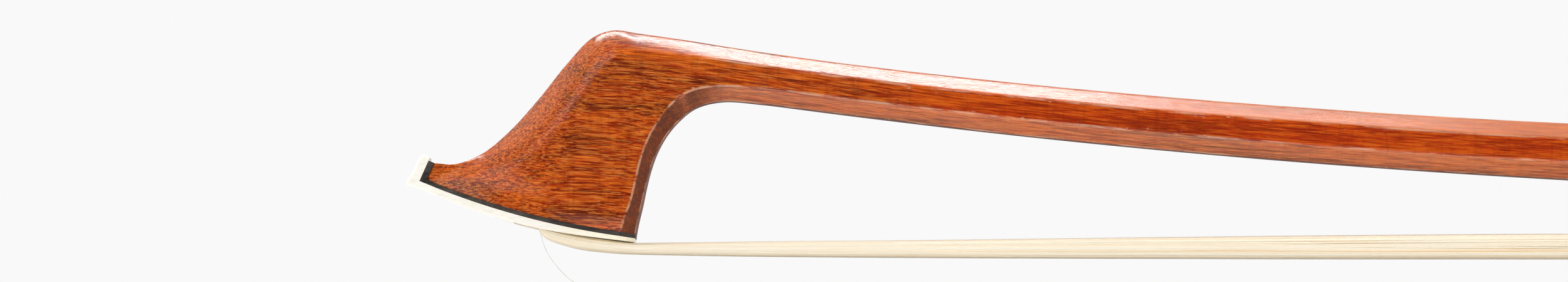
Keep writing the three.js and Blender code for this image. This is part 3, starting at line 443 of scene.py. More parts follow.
# Nickel silver: pale grey metal with draw-file lines along X, clouded by handling.
def silverMaterial():
    made = Recipe("nickelSilver", Metallic=1.0)
    lines = made.noise((180, 9000, 9000), 3, 0.6)
    clouds = made.noise((420, 420, 420), 4, 0.6)
    color = made.ramp(clouds, (0.3, srgb(204, 199, 190)), (0.65, srgb(222, 220, 216)))
    color = made.layers(color, (lines, 0.6, 0.75, 0.25, srgb(172, 166, 156)))
    both = made.compute("ADD", lines, clouds)
    return made.finish(color, (both, 0.7, 1.3, 0.2, 0.34), lines, 0.000006, 0.6)


# Pearl: curved layers seen edge-on, whose tint drifts from green to rose and blue.
def pearlMaterial():
    made = Recipe("pearl", Coat_Weight=0.9, Coat_Roughness=0.05)
    drift = made.noise((90, 170, 170), 2, 0.5, 0.8)
    sheets = made.noise((110, 900, 900), 5, 0.6, 1.6, turn=(0.2, 0.1, 0.3))
    tint = made.ramp(drift, (0.3, srgb(214, 232, 224)), (0.7, srgb(224, 220, 236)),
                     (0.42, srgb(240, 240, 234)), (0.52, srgb(240, 226, 226)),
                     (0.61, srgb(222, 234, 238)))
    color = made.layers(tint, (sheets, 0.4, 0.62, 0.4, srgb(206, 210, 208)))
    return made.finish(color, (sheets, 0, 1, 0.2, 0.2), sheets, 0.000006, 0.5)


# Turned metal: rings from the lathe round X, with a dull film.
def turnedMaterial(name, light, dark, rough):
    made = Recipe(name, Metallic=1.0)
    rings = made.noise((6000, 300, 300), 2, 0.5)
    film = made.noise((500, 500, 500), 4, 0.65)
    color = made.ramp(film, (0.35, dark), (0.65, light))
    color = made.layers(color, (rings, 0.5, 0.7, 0.3, dark))
    return made.finish(color, (film, 0.3, 0.7, rough - 0.08, rough + 0.15), rings, 0.00001, 0.7)


# Maple wedges: pale wood with short rays across fine growth lines.
def mapleMaterial():
    made = Recipe("maple", Specular_IOR_Level=0.3)
    lines = made.noise((160, 3200, 3200), 3, 0.6)
    rays = made.noise((900, 900, 5200), 2)
    color = made.ramp(lines, (0.35, srgb(186, 148, 100)), (0.65, srgb(222, 190, 144)))
    color = made.layers(color, (rays, 0.58, 0.68, 0.4, srgb(150, 108, 68)))
    return made.finish(color, (rays, 0.3, 0.7, 0.5, 0.7), lines, 0.00002, 0.8)


# Waxed thread: twisted strands that run round each knot.
def threadMaterial():
    made = Recipe("waxedThread", Specular_IOR_Level=0.4)
    strands = made.noise((5200, 900, 5200), turn=(0.4, 0, 0.4))
    color = made.ramp(strands, (0.35, srgb(138, 104, 66)), (0.65, srgb(206, 182, 140)))
    return made.finish(color, (strands, 0.3, 0.7, 0.5, 0.75), strands, 0.00004)


# Grip leather: pebbled grain with dark creases, paler and shinier where it is held.
def leatherMaterial():
    made = Recipe("gripLeather", Specular_IOR_Level=0.45)
    pebbles = made.cells((2300, 3000, 3000))
    mottle = made.noise((260, 260, 260), 4, 0.6)
    held = made.noise((60, 110, 110), 2)
    color = made.ramp(mottle, (0.3, srgb(40, 22, 14)), (0.7, srgb(84, 50, 32)))
    color = made.layers(color, (pebbles, 0.12, 0.0, 0.55, srgb(22, 12, 8)),
                        (held, 0.5, 0.7, 0.5, srgb(104, 66, 44)))
    grain = made.steps(pebbles, 0, 0.16)
    return made.finish(color, (held, 0.35, 0.65, 0.62, 0.42), grain, 0.00005)


# Horsehair: cream, each hair with its own tint, and a little darker along short stretches.
def hairMaterial():
    made = Recipe("horsehair", Specular_IOR_Level=0.3)
    stretches = made.noise((60, 4200, 4200), 2)
    # tint 0, the darkest ochre, colours the core as painted shade in the gaps between hairs
    color = made.ramp(made.attribute("tint"), (0.0, srgb(241, 203, 146)),
                      (1.0, srgb(255, 248, 232)), (0.3, srgb(252, 234, 202)))
    color = made.layers(color, (stretches, 0.55, 0.75, 0.3, srgb(244, 208, 152)))
    return made.finish(color, (stretches, 0.3, 0.7, 0.36, 0.48), stretches, 0.000004, 0.5)


# Broken hair: grey and dull where it has dried out.
def brokenHairMaterial():
    made = Recipe("brokenHair", Specular_IOR_Level=0.5)
    flakes = made.noise((2200, 2200, 1400))
    color = made.ramp(flakes, (0.35, srgb(196, 190, 180)), (0.65, srgb(232, 228, 220)))
    return made.finish(color, (flakes, 0.3, 0.7, 0.45, 0.65), flakes, 0.000005, 0.5)


wood = pernambucoMaterial()
ebony = ebonyMaterial("ebony", srgb(52, 42, 36), srgb(24, 19, 17), 0.36, 0.25)
linerBlack = ebonyMaterial("linerEbony", srgb(84, 76, 68), srgb(46, 40, 36), 0.6, 0.0)
tipWhite = tipWhiteMaterial()
maple = mapleMaterial()
thread = threadMaterial()
silver = silverMaterial()
brass = turnedMaterial("brass", srgb(204, 164, 88), srgb(160, 120, 58), 0.32)
steel = turnedMaterial("steel", srgb(158, 160, 164), srgb(112, 114, 118), 0.32)
leather = leatherMaterial()
pearl = pearlMaterial()
hairLook = hairMaterial()
strayLook = brokenHairMaterial()

# Pins, rings and small screws are silver too.
nodeFinish = (
    (thread, ("head_knot", "frog_knot")),
    (maple, ("head_plug", "frog_plug", "spread_wedge")),
    (ebony, ("frog", "slide_backing", "button_core")),
    (silver, ("underslide", "ferrule", "heel_plate_back", "heel_plate_bottom")),
    (pearl, ("pearl_slide", "pearl_eye_left", "pearl_eye_right", "button_eye")),
    (brass, ("eyelet",)),
    (steel, ("screw",)),
)
for nodeName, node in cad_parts.items():
    finishes = [finish for finish, names in nodeFinish if nodeName in names]
    if not finishes and any(word in nodeName for word in ("pin", "ring", "screw_")):
        finishes = [silver]
    if finishes:
        node.data.materials.clear()
        node.data.materials.append(finishes[0])
print("materials made:", len(bpy.data.materials))


# The head's places as shares of its sizes: throat s, throat h, front s, front h, cheek, chamfer
headStations = np.array([
    [1.558, 0.66, 1.514, 0.906, 0.534, 1.057],
    [1.384, 0.672, 1.214, 0.955, 0.543, 1.171],
    [1.268, 0.643, 1.014, 0.985, 0.569, 1.2],
    [1.192, 0.583, 0.902, 1, 0.603, 1.143],
    [1.138, 0.517, 0.808, 0.966, 0.647, 1.03],
    [1.098, 0.444, 0.696, 0.846, 0.707, 0.943],
    [1.069, 0.365, 0.572, 0.684, 0.776, 0.829],
    [1.047, 0.278, 0.446, 0.538, 0.845, 0.743],
    [1.031, 0.199, 0.326, 0.434, 0.905, 0.771],
    [1.0145, 0.128, 0.21, 0.386, 0.957, 0.886],
])
# Shares of the plate's length and half width, and of a section's depth and half width
plateWidths = np.array([
    [0, 0.905], [0.15, 0.965], [0.27, 1], [0.42, 0.965], [0.56, 0.86], [0.69, 0.71],
    [0.81, 0.55], [0.9, 0.43], [1, 0.335],
])
headRows = np.array([
    [0.18, 1], [0.3, 1], [0.42, 1], [0.54, 0.985], [0.65, 0.94], [0.75, 0.855], [0.84, 0.71],
    [0.93, 0.46], [1, 0.17],
])
plateRows = np.vstack([plateWidths[1:], [1, head["beakTop"]]])
sideRow = np.arange(1, 7) / 6
upperRow = np.arange(1, 4) / 3
stickRows = np.vstack([
    np.stack([cornerShare + (1 - 2 * cornerShare) * sideRow, np.ones(6)], -1),
    np.stack([1 - cornerShare * (1 - upperRow), 1 - (1 - facetShare) * upperRow], -1),
])
lastStation = len(headStations) + 2
cornerRows = (0, 1, 7, 10)


def plateSlope(share):
    bow = head["plateBow"]
    return head["plateRise"] * (1 - bow + 2 * bow * share) / head["plateRun"]


# The plate's parabola: share 0 is the heel and 1 the foot of the beak, drop goes out of the head.
def plateLine(share, drop):
    share, drop = np.broadcast_arrays(share, drop)
    bow = head["plateBow"]
    rise = head["plateRise"] * ((1 - bow) * share + bow * share ** 2)
    lean = np.arctan(plateSlope(share))
    s = head["length"] - head["plateRun"] * share - drop * np.sin(lean)
    return np.stack([s, head["plateHeel"] + rise - drop * np.cos(lean)], -1)


beakFoot, beakLean = plateLine(1, 0), np.arctan(plateSlope(1))


# By the beak's foot: forward goes along the plate past the beak, up goes square to the plate.
def beakPoint(forward, up):
    cosine, sine = np.cos(beakLean), np.sin(beakLean)
    place = [up * sine - forward * cosine, up * cosine + forward * sine]
    return beakFoot + np.stack(place, -1)


def stickSide(s, side):
    lean = np.arctan(stickSlope(s))
    reach = side * stickWidth(s) / 2
    return np.stack([s - reach * np.sin(lean), stickHeight(s) + reach * np.cos(lean)], -1)


# One section's rows: back corner, chamfer, then shares of the way to the front. Half widths
# follow the cheek.
def sectionRows(back, front, cheek, chamfer, rows):
    depth = np.linalg.norm(front - back, axis=1)
    share = np.column_stack([np.zeros(len(depth)), chamfer / depth, rows[:, :, 0]])
    half = np.column_stack([cheek - chamfer, cheek, rows[:, :, 1] * cheek[:, None]])
    return back[:, None, :] + share[..., None] * (front - back)[:, None, :], half


def dropAt(name, share):
    return np.interp(share, (0, 1), head[name])


beakLift = head["linerForward"] + head["glue"]
heelHalf = plateWidths[0, 1] * head["plateHalf"]
heelPoint = plateLine(0, dropAt("woodDrop", 0))
beakTop = beakPoint(-beakLift, head["linerUp"])
beakCorner = beakPoint(-beakLift, -dropAt("woodDrop", 1))
guides = np.array([stick["guideEnd"], stick["neckEnd"]])
headSize = np.array([head["length"], head["height"]])
throatPoints = np.vstack([stickSide(guides, -1), headStations[:, :2] * headSize, heelPoint])
frontPoints = np.vstack([stickSide(guides, 1), headStations[:, 2:4] * headSize, beakTop])
neckGirth = [stick["neckWidth"] / 2, stick["neckWidth"] * cornerShare]
girthPoints = np.vstack([
    [neckGirth, neckGirth],
    headStations[:, 4:] * [head["plateHalf"], head["chamfer"]],
    [heelHalf, head["chamfer"]],
])


def straightRows(stations):
    girth = curveThrough(girthPoints, stations)
    toHead = smooth(stations, 2, 7)[:, None, None]
    toPlate = smooth(stations, 8, lastStation)[:, None, None]
    rows = stickRows + toHead * (headRows - stickRows)
    rows = rows + toPlate * (plateRows - rows)
    throat = curveThrough(throatPoints, stations)
    return sectionRows(throat, curveThrough(frontPoints, stations), girth[:, 0], girth[:, 1], rows)


# The head's sections are straight by the neck and bow out bit by bit into the plate's parabola.
def headSections(stations):
    place, half = straightRows(stations)
    lastPlace, lastHalf = straightRows(np.array([float(lastStation)]))
    shares = plateWidths[1:-1, 0]
    targetPlace = np.vstack([
        heelPoint,
        plateLine(head["chamfer"] / head["plateRun"], dropAt("woodDrop", 0.07)),
        plateLine(shares, dropAt("woodDrop", shares)),
        beakCorner,
        beakTop,
    ])
    heelHalves = [heelHalf - head["chamfer"], heelHalf]
    targetHalf = np.append(heelHalves, plateRows[:, 1] * head["plateHalf"])
    bulge = np.clip((stations - 7) / (lastStation - 7), 0, None) ** 2
    place = place + (targetPlace - lastPlace[0]) * bulge[:, None, None]
    return place, half + (targetHalf - lastHalf[0]) * bulge[:, None], smooth(stations, 2, 7), bulge


# Each ring is walked by its length, with more stops by its ridges, and every stop is the mean
# of its neighbourhood, which rubs the ridges round.
def ringLoop(place, half, soft, bulge, rounding):
    rowPlace = np.column_stack([place, half])
    fineRows = np.linspace(1, 10, 55)
    straight = np.stack([np.interp(fineRows, np.arange(11), row) for row in rowPlace.T], -1)
    curved = curveThrough(rowPlace[1:], fineRows - 1)
    flank = straight + (soft * (1 - bulge)) * (curved - straight)
    left = np.vstack([rowPlace[:1], flank])[:, [0, 2, 1]]
    right = left[::-1] * [1, -1, 1]
    loop = np.vstack([left, right, left[:1]])
    walked = np.append(0, np.linalg.norm(np.diff(loop, axis=0), axis=1).cumsum())
    whole = walked[-1]
    marks = [0] + [1 + (row - 1) * 6 for row in cornerRows[1:]]
    leftMarks = walked[marks]
    lastMark = len(left) - 1
    rightMarks = (walked[lastMark] + walked[lastMark + 1]) - leftMarks[::-1]
    corners = np.hstack([leftMarks, rightMarks, [whole]])
    counts = (10, 26, 14, 10, 14, 26, 10, 8)
    stops = np.hstack([
        low + (high - low) * (0.5 - 0.5 * np.cos(np.pi * np.arange(count) / count))
        for low, high, count in zip(corners, corners[1:], counts)
    ])
    window = np.linspace(-1, 1, 9)
    weights = np.cos(window * np.pi / 2.4)
    weights /= weights.sum()
    around = (stops[:, None] + window * rounding) % whole
    points = np.stack([np.interp(around, walked, loop[:, k]) @ weights for k in range(3)], -1)
    fade = 1 - soft * np.array([0, 0, 1, 1, 1, 1, 0, 0])  # no ridges up the head's front
    near = np.exp(-np.abs(stops[:, None] - corners[:-1]) / 0.45) * fade
    return points, near.max(1)


def bowStick():
    stopCount = (lastStation - 1) * stick["headSteps"]
    headStops = np.linspace(lastStation, 1, stopCount, endpoint=False)
    headPlace, headHalf, soft, bulge = headSections(headStops)
    end = stick["length"] - stick["endGap"] * np.cos(handleTilt)
    stickStops = np.hstack([
        np.arange(stick["neckEnd"], handleStart, stick["stickStep"]),
        np.arange(handleStart, end, stick["handleStep"]),
        [end],
    ])
    width = stickWidth(stickStops)
    rows = np.broadcast_to(stickRows, (len(stickStops), *stickRows.shape))
    back, front = stickSide(stickStops, -1), stickSide(stickStops, 1)
    stickPlace, stickHalf = sectionRows(back, front, width / 2, width * cornerShare, rows)
    place, half = np.vstack([headPlace, stickPlace]), np.vstack([headHalf, stickHalf])
    soft, bulge = (np.pad(values, (0, len(stickStops))) for values in (soft, bulge))
    rounding = stick["ridgeRound"] * (1 - 0.85 * bulge)
    loops = [ringLoop(*ring) for ring in zip(place, half, soft, bulge, rounding)]
    # the end strips pair left and right, so each ring begins at the middle of its back
    points, ridge = (np.roll([loop[k] for loop in loops], 4, axis=1) for k in range(2))
    world = fromSide(*np.moveaxis(points, -1, 0))
    piece = skinPiece("bow_stick", world, wood, "stick_body", "pernambuco", "stick")
    run, across, height = points.reshape(-1, 3).T
    start = stick["grainStart"]
    turned = (run - start) * (0.45 + 0.55 * np.exp((run - start) / 14))
    lift = height - stickHeight(np.maximum(run, start))
    lift = lift - stickSlope(start) * np.where(run < start, turned, 0)
    addAttribute(piece, "grain", np.stack([run, across, lift], -1) * millimetre)
    addAttribute(piece, "ridge", ridge.ravel())
    print("stick:", *ridge.shape, "points along and around")


bowStick()


# A band carried between an inner and an outer line, with square inner edges and rounded outer
# ones. halfAt gives the band's half width at any place of the side view.
def roundedBand(inner, outer, halfAt, rounding, arcSteps=7):
    depth = np.linalg.norm(outer - inner, axis=1)
    halfInner, halfOuter = halfAt(inner), halfAt(outer)
    radius = np.minimum(np.minimum(rounding, depth * 0.98), halfOuter * 0.98)
    angle = np.linspace(0, np.pi / 2, arcSteps)
    arcDown = depth[:, None] - radius[:, None] * (1 - np.sin(angle))
    zero = np.zeros(len(inner))
    down = np.column_stack([zero, zero, arcDown, depth]) / depth[:, None]
    edge = halfInner[:, None] + (halfOuter - halfInner)[:, None] * down
    inset = np.column_stack([
        halfInner * 0.5, zero, radius[:, None] * (1 - np.cos(angle)),
        np.maximum(halfOuter * 0.5, radius + 0.001),
    ])
    across = edge - inset
    place = inner[:, None, :] + down[..., None] * (outer - inner)[:, None, :]
    place, across = np.hstack([place, place[:, ::-1]]), np.hstack([across, -across[:, ::-1]])
    return fromSide(place[..., 0], across, place[..., 1])


# Half the plate's width over its length, cut back by the heel's chamfers and narrowing up the
# beak.
def plateHalfAt(place):
    share = (head["length"] - place[:, 0]) / head["plateRun"]
    number = np.interp(np.clip(share, 0, 1), plateWidths[:, 0], np.arange(len(plateWidths)))
    half = curveThrough(plateWidths, number)[:, 1] - 0.95 * np.clip(share - 1, 0, 0.06)
    toHeel = np.maximum(head["length"] - place[:, 0], 0)
    half = np.minimum(half * head["plateHalf"], heelHalf - head["chamfer"] + toHeel)
    up = (place - beakFoot) @ [np.sin(beakLean), np.cos(beakLean)]
    climb = np.clip(up / head["linerUp"], 0, 1) * smooth(share, 0.9, 0.98)
    return half * (1 - climb * (1 - head["beakTop"] / plateWidths[-1, 1]))


# The hair's mortise is cut through the plate and the liner.
def cutMortise(piece):
    low, high = np.array(head["mortise"])
    place = low + np.indices((2, 2, 2)).reshape(3, -1).T * (high - low)
    faces = [(0, 1, 3, 2), (4, 6, 7, 5), (0, 4, 5, 1), (2, 3, 7, 6), (0, 2, 6, 4), (1, 5, 7, 3)]
    mesh = bpy.data.meshes.new("mortise")
    mesh.from_pydata(fromSide(*place.T).tolist(), [], faces)
    cutter = newObject("mortise", mesh)
    cut = piece.modifiers.new("mortise", "BOOLEAN")
    cut.operation = "DIFFERENCE"
    cut.object = cutter
    shaped = piece.evaluated_get(bpy.context.evaluated_depsgraph_get())
    finished = bpy.data.meshes.new_from_object(shaped)
    finished.set_sharp_from_angle(angle=np.radians(40))
    piece.modifiers.clear()
    piece.data = finished
    bpy.data.objects.remove(cutter)


# The plate's outer line runs under the head and over the nose, and its inner line up the liner.
def tipPlate():
    glue = head["glue"]
    heelDrop, bottom = head["plateDrop"]
    hook = head["hook"] + glue
    reach, drop, height = (head[key] for key in ("noseReach", "noseDrop", "hookHeight"))
    shares = np.linspace(0, 0.9, 50)
    outerFlat = plateLine(shares, heelDrop + (bottom - heelDrop) * smooth(shares, 0, 0.6))
    nose = np.array([
        (hook * 0.4, -bottom - drop * 0.35),
        (hook, -bottom - drop),
        (hook + reach * 0.8, -bottom - drop * 0.45),
        (hook + reach, -bottom + 0.25),
        (hook + reach * 0.3, 0.3),
        (hook, height - head["hook"]),
        (hook - 0.05, height - 0.35),
        (hook - 0.25, height - 0.05),
        (glue + 0.3, height),
    ])
    nose = np.vstack([outerFlat[-2:], beakPoint(*nose.T)])
    lastNose = len(nose) - 1
    noseStops = np.linspace(1, lastNose, 66)[1:]
    outer = np.vstack([outerFlat, curveThrough(nose, noseStops)])
    innerFlat = plateLine(shares, dropAt("linerDrop", shares) + glue)
    corner = beakPoint(glue, -dropAt("linerDrop", 1) - glue)
    turn = np.clip((noseStops - 1) / 2.6, 0, 1)[:, None]
    climb = np.clip((noseStops - 4.2) / (lastNose - 4.2), 0, 1)[:, None]
    toCorner = innerFlat[-1] + (corner - innerFlat[-1]) * turn
    toTop = (beakPoint(glue, height - 0.04) - corner) * climb
    inner = np.vstack([innerFlat, toCorner + toTop])
    rounding = 0.14 + 0.4 * np.append(shares * 0, smooth(noseStops, 1, 4))
    world = roundedBand(inner, outer, plateHalfAt, rounding)
    plate = skinPiece("bow_tip_plate", world, tipWhite, "stick_body", "tip_white", "tip_plate")
    cutMortise(plate)


def tipLiner():
    glue, top = head["glue"], head["linerUp"]
    forward = beakLift + glue * 0.2
    shares = np.linspace(0, 1, 60)
    low = dropAt("linerDrop", shares)
    fillet = head["linerFillet"] * smooth(shares, 0.95, 0.975)
    high = dropAt("woodDrop", shares) - glue * 0.2 - fillet
    climb = np.linspace(0.02, 1, 14)
    lines = []
    for drop, back in ((high, forward), (low, 0)):
        beak = beakPoint(-back, -drop[-1] + (top + drop[-1]) * climb)
        lines.append(np.vstack([plateLine(shares, drop), beak]))
    rounding = np.full(len(lines[0]), 0.03)
    world = roundedBand(*lines, lambda place: plateHalfAt(place) + 0.02, rounding, arcSteps=3)
    liner = skinPiece("bow_tip_liner", world, linerBlack, "stick_body", "ebony", "tip_liner")
    cutMortise(liner)


tipPlate()
tipLiner()
print("tip plate and liner done")

hair = {
    "count": 250,
    "steps": 84,
    "radius": 0.1,
    "sides": 4,
    "coreSides": 48,
    "seed": 7,
    "strayRadius": 0.03,
    "blendStart": 115,  # two places along the hair, from the beak
    "blendEnd": 630,
}
# The band's upper s and h, lower s and h, and width. In the tip plate's mortise the upper line
# hugs its back edge and the lower one hangs free, and both run on along the slack.
hairRun = np.array([
    [17.35, 7.4, 15.92, 7.4, 5.4],
    [17.35, 3.6, 15.92, 3.6, 5.4],
    [17.36, 2.75, 15.93, 2.85, 5.4],
    [17.45, 2.36, 16.02, 2.3, 5.5],
    [17.7, 2.16, 16.3, 1.78, 5.7],
    [18.3, 1.99, 16.85, 1.3, 6],
    [19.3, 1.8, 17.7, 0.92, 6.5],
    [20.5, 1.56, 18.8, 0.58, 7.1],
    [21.7, 1.36, 20.1, 0.22, 7.7],
    [22.9, 1.17, 21.6, -0.06, 8.2],
    [24.1, 1, 23.3, -0.24, 8.6],
    [25.6, 0.78, 25.3, -0.41, 8.9],
    [27.3, 0.52, 27.3, -0.5, 9.2],
    [30, 0.53, 30, -0.57, 9.5],
    [36, 0.6, 36, -0.67, 9.7],
    [42, 0.68, 42, -0.76, 9.9],
    [60, 0.8, 60, -0.9, 10.1],
    [103, 1.3, 103, -1.05, 10.4],
    [141, 1.6, 141, -1.08, 10.6],
    [260, 1.7, 260, -1.08, 11],
    [420, 1.5, 420, -1.05, 11.4],
    [560, 1, 560, -0.85, 11.7],
    [615, 0.62, 615, -0.6, 11.8],
])
# In the frog, upper t and z, lower t and z, and width: ferrule, channel and knot
ferruleDepth = (buttonHeight - 73.1 * np.sin(handleTilt)) / np.cos(handleTilt)
hairInFrog = np.array([
    [73.1, 0.45 - ferruleDepth, 73.1, -0.45 - ferruleDepth, 11.8],
    [69.9, 0.45 - ferruleDepth, 69.9, -0.45 - ferruleDepth, 11.8],
    [63.6, -21.88, 63.6, -22.78, 10.6],
    [60.4, -21.88, 60.4, -22.78, 10.4],
    [47.6, -21.88, 47.6, -22.78, 8.4],
    [46.0, -21.85, 45.2, -22.6, 8.2],
    [45.8, -21.2, 44.9, -21.6, 8.2],
    [45.8, -18.1, 44.9, -18.1, 8.2],
])


# One line of the whole band, from the head's mortise to the frog's: column 0 upper, 2 lower.
def hairLine(column):
    inFrog = fromHandle(hairInFrog[:, column], 0, hairInFrog[:, column + 1])[:, [0, 2]]
    inFrog = inFrog / millimetre + [stick["length"], buttonHeight]
    return np.vstack([hairRun[:, column:column + 2], inFrog])


# Tubes round many paths at once: paths are (count, steps, 3), and every ring lies square to its
# path. Its corners are counted from the side that faces square to the axis.
def tubes(paths, radius, sides, axis=(0, 1, 0), start=0.0):
    tangent = np.gradient(paths, axis=1)
    tangent /= np.linalg.norm(tangent, axis=2, keepdims=True)
    side = np.cross(tangent, axis)
    side /= np.linalg.norm(side, axis=2, keepdims=True)
    other = np.cross(tangent, side)
    angle = start + np.arange(sides)[:, None] * 2 * np.pi / sides
    rings = side[:, :, None] * np.cos(angle) + other[:, :, None] * np.sin(angle)
    points = paths[:, :, None] + rings * radius
    count, steps = paths.shape[:2]
    shift = np.arange(count)[:, None, None] * steps * sides
    return points, facedOut(points, (skinFaces(steps, sides)[None] + shift).reshape(-1, 4))


# The band's cross-section is a rounded oblong: y = cos(angle) ** 0.5 and up = sin(angle) ** 0.5,
# with their signs.
def bandOutline(angle):
    cosine, sine = np.cos(angle), np.sin(angle)
    return np.sign(cosine) * np.abs(cosine) ** 0.5, np.sign(sine) * np.abs(sine) ** 0.5


# Hairs lie side by side round a core of hair, whose ochre is painted shade in the gaps between
# them. Each wanders a little along its length, in and out of the core.
def bowHair():
    random = np.random.default_rng(hair["seed"])
    count, steps = hair["count"], hair["steps"]
    last = len(hairRun) + len(hairInFrog) - 1
    stops = np.hstack([
        np.linspace(0, 12, 34, endpoint=False),
        np.linspace(12, last - 8, steps - 60, endpoint=False),
        np.linspace(last - 8, last, 26),
    ])
    upper, lower = (curveThrough(hairLine(column), stops) for column in (0, 2))
    width = np.interp(stops, np.arange(last + 1), np.append(hairRun[:, 4], hairInFrog[:, 4]))
    middle, depth = (upper + lower) / 2, np.linalg.norm(upper - lower, axis=1)
    lift = (upper - lower) / depth[:, None] / 2

    def onBand(angle, out):
        across, up = bandOutline(angle)
        place = middle + (up * (depth + 2 * out))[..., None] * lift
        return fromSide(place[..., 0], across * (width / 2 + out), place[..., 1])

    fineAngle = np.linspace(0, 2 * np.pi, 1441)
    across, up = bandOutline(fineAngle)
    walked = np.append(0, np.cumsum(np.hypot(np.diff(across) * 5, np.diff(up) * 1.1)))
    spread = (np.arange(count) + random.uniform(0, 1, count)) / count * walked[-1]
    waver = np.zeros((2, count, steps))
    for waves in (1.3, 2.7, 4.9, 8.3):
        phase = random.uniform(0, 2 * np.pi, (2, count, 1))
        amount = random.normal(0, 1, (2, count, 1)) / waves
        waver += amount * np.sin(middle[:, 0] / 600 * waves * 2 * np.pi + phase)
    free = smooth(middle[:, 0], 18, 120) * (1 - smooth(middle[:, 0], 560, 640))
    spread = np.mod(spread[:, None] + (0.06 + 0.2 * free) * waver[0], walked[-1])
    out = random.uniform(-0.06, 0.04, count)[:, None] + (0.01 + 0.04 * free) * waver[1]
    paths = onBand(np.interp(spread, walked, fineAngle), np.clip(out, -0.14, 0.1))
    points, faces = tubes(paths, hair["radius"] * millimetre, hair["sides"])
    ring = (np.arange(hair["coreSides"]) + 0.5) * 2 * np.pi / hair["coreSides"]
    shadeCore = onBand(ring[:, None], -0.06).transpose(1, 0, 2)
    shadeCoreFaces = facedOut(shadeCore, skinFaces(*shadeCore.shape[:2])) + points.size // 3
    points = np.vstack([points.reshape(-1, 3), shadeCore.reshape(-1, 3)])
    hairs = newPiece("bow_hair", points, np.vstack([faces, shadeCoreFaces]), hairLook)
    shade = np.clip(random.normal(0.66, 0.2, count), 0, 1)
    shade = np.repeat(shade, steps * hair["sides"])
    # the core takes tint 0, the darkest ochre, as painted shade between the hairs
    addAttribute(hairs, "tint", np.append(shade, np.zeros(shadeCore.size // 3)))
    # the two places are taken into the frame, and the hair stays fixed where it is made
    start, end = (fromSide(hair[key], 0, 0).tolist() for key in ("blendStart", "blendEnd"))
    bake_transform(hairs)
    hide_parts("hair")
    print("hair:", len(hairs.data.polygons), "faces")


# One broken hair hangs from the band's front edge.
def strayHair():
    bends = np.array([
        [16.6, -2.1, 3.4], [16.1, -2.4, 2.6], [16.35, -2.7, 1.2], [17.0, -3.0, -0.53],
        [18.17, -3.2, -2.2], [19.3, -3.3, -3.4], [20.1, -3.3, -4.05], [20.75, -3.2, -4.4],
    ])
    path = curveThrough(bends, np.linspace(0, len(bends) - 1, 60))
    points, faces = tubes(fromSide(*path.T)[None], hair["strayRadius"] * millimetre, 6)
    newPiece("stray_hair", points, faces, strayLook, "stick_body", "horsehair")


bowHair()
strayHair()

grip = {
    "leatherStart": 75.5,
    "leatherLength": 34.0,
    "leatherThick": 0.95,
    "seamPlace": 0.62,  # share of a turn
    "seamWidth": 3.2,
    "windingStart": 109.42,
    "windingLength": 61.7,
    "wire": 0.3,
    "turnStops": 32,
    "cornerRadius": 0.35,
}


# Round the handle's octagon: share of a turn and distance from its flats give y and z. The
# corners are arcs.
def aroundHandle(share, offset):
    corner = np.arange(9)[:, None] * np.pi / 4 + np.pi / 8
    angle = (corner + np.linspace(-np.pi / 8, np.pi / 8, 4)).ravel()
    reach = stick["handleWidth"] / 2 - grip["cornerRadius"]
    hub = np.repeat(corner, 4)
    stops = np.arange(len(angle)) / 32
    turned = np.mod(share, 1)
    angleAt = np.interp(turned, stops, angle)
    sides = []
    for wave in (np.cos, np.sin):
        hubAt = np.interp(turned, stops, reach / np.cos(np.pi / 8) * wave(hub))
        sides.append(hubAt + (grip["cornerRadius"] + offset) * wave(angleAt))
    return sides


# The grip is one strip round the handle. Its ends are pared thin and its edges overlap in a
# slanting seam.
def gripLeather():
    around, length = 160, grip["leatherLength"]
    edge = np.array([0, 0.1, 0.35, 0.8, 1.6, 2.8])
    out = np.hstack([edge, np.linspace(4.2, length - 4.2, 34), length - edge[::-1]])
    along = np.hstack([out, out[::-1]])[:, None]
    outside = np.repeat([[1.0], [0.0]], len(out), axis=0)
    share = np.arange(around)[None, :] / around
    pared = smooth(along, -0.6, 3.2) * smooth(length - along, -0.6, 3.2)
    seam = grip["seamPlace"] + 0.0012 * (along - length / 2)
    fromSeam = (share - seam) * 33.0  # millimetres round the handle
    lap = smooth(fromSeam, -0.12, 0.12) * (1 - smooth(fromSeam, 0.2, grip["seamWidth"]))
    ripple = 0.03 * np.sin(along * 1.9 + 2.2 * np.sin(2 * np.pi * share))
    ripple = ripple + 0.025 * np.sin(14 * np.pi * share + along * 0.4)
    thick = 0.22 + (grip["leatherThick"] - 0.4 + 0.18 * lap + ripple) * pared
    offset = np.minimum(thick * outside, 1.03) + 0.02 * (1 - outside)
    world = fromHandle(grip["leatherStart"] + along, *aroundHandle(share, offset))
    faces = facedOut(world, skinFaces(len(along), around, looped=True))
    newPiece("grip_leather", world, faces, leather, "stick_body", "leather", "thumb_leather")


# One wire is wound tight round the handle: each turn moves on by the wire's own thickness.
def wireWinding():
    wire = grip["wire"]
    turns = int(grip["windingLength"] / wire)
    stops = np.arange(turns * grip["turnStops"] + 1) / grip["turnStops"]
    run = grip["windingStart"] + wire / 2 + stops * wire * 0.997
    path = fromHandle(run, *aroundHandle(stops, 0.03 + wire / 2))
    axis = (-np.cos(handleTilt), 0, -np.sin(handleTilt))
    points, faces = tubes(path[None], wire / 2 * 0.99 * millimetre, 6, axis, -np.pi / 2)
    newPiece("wire_winding", points, faces, silver, "stick_body", "winding_wire", "winding")


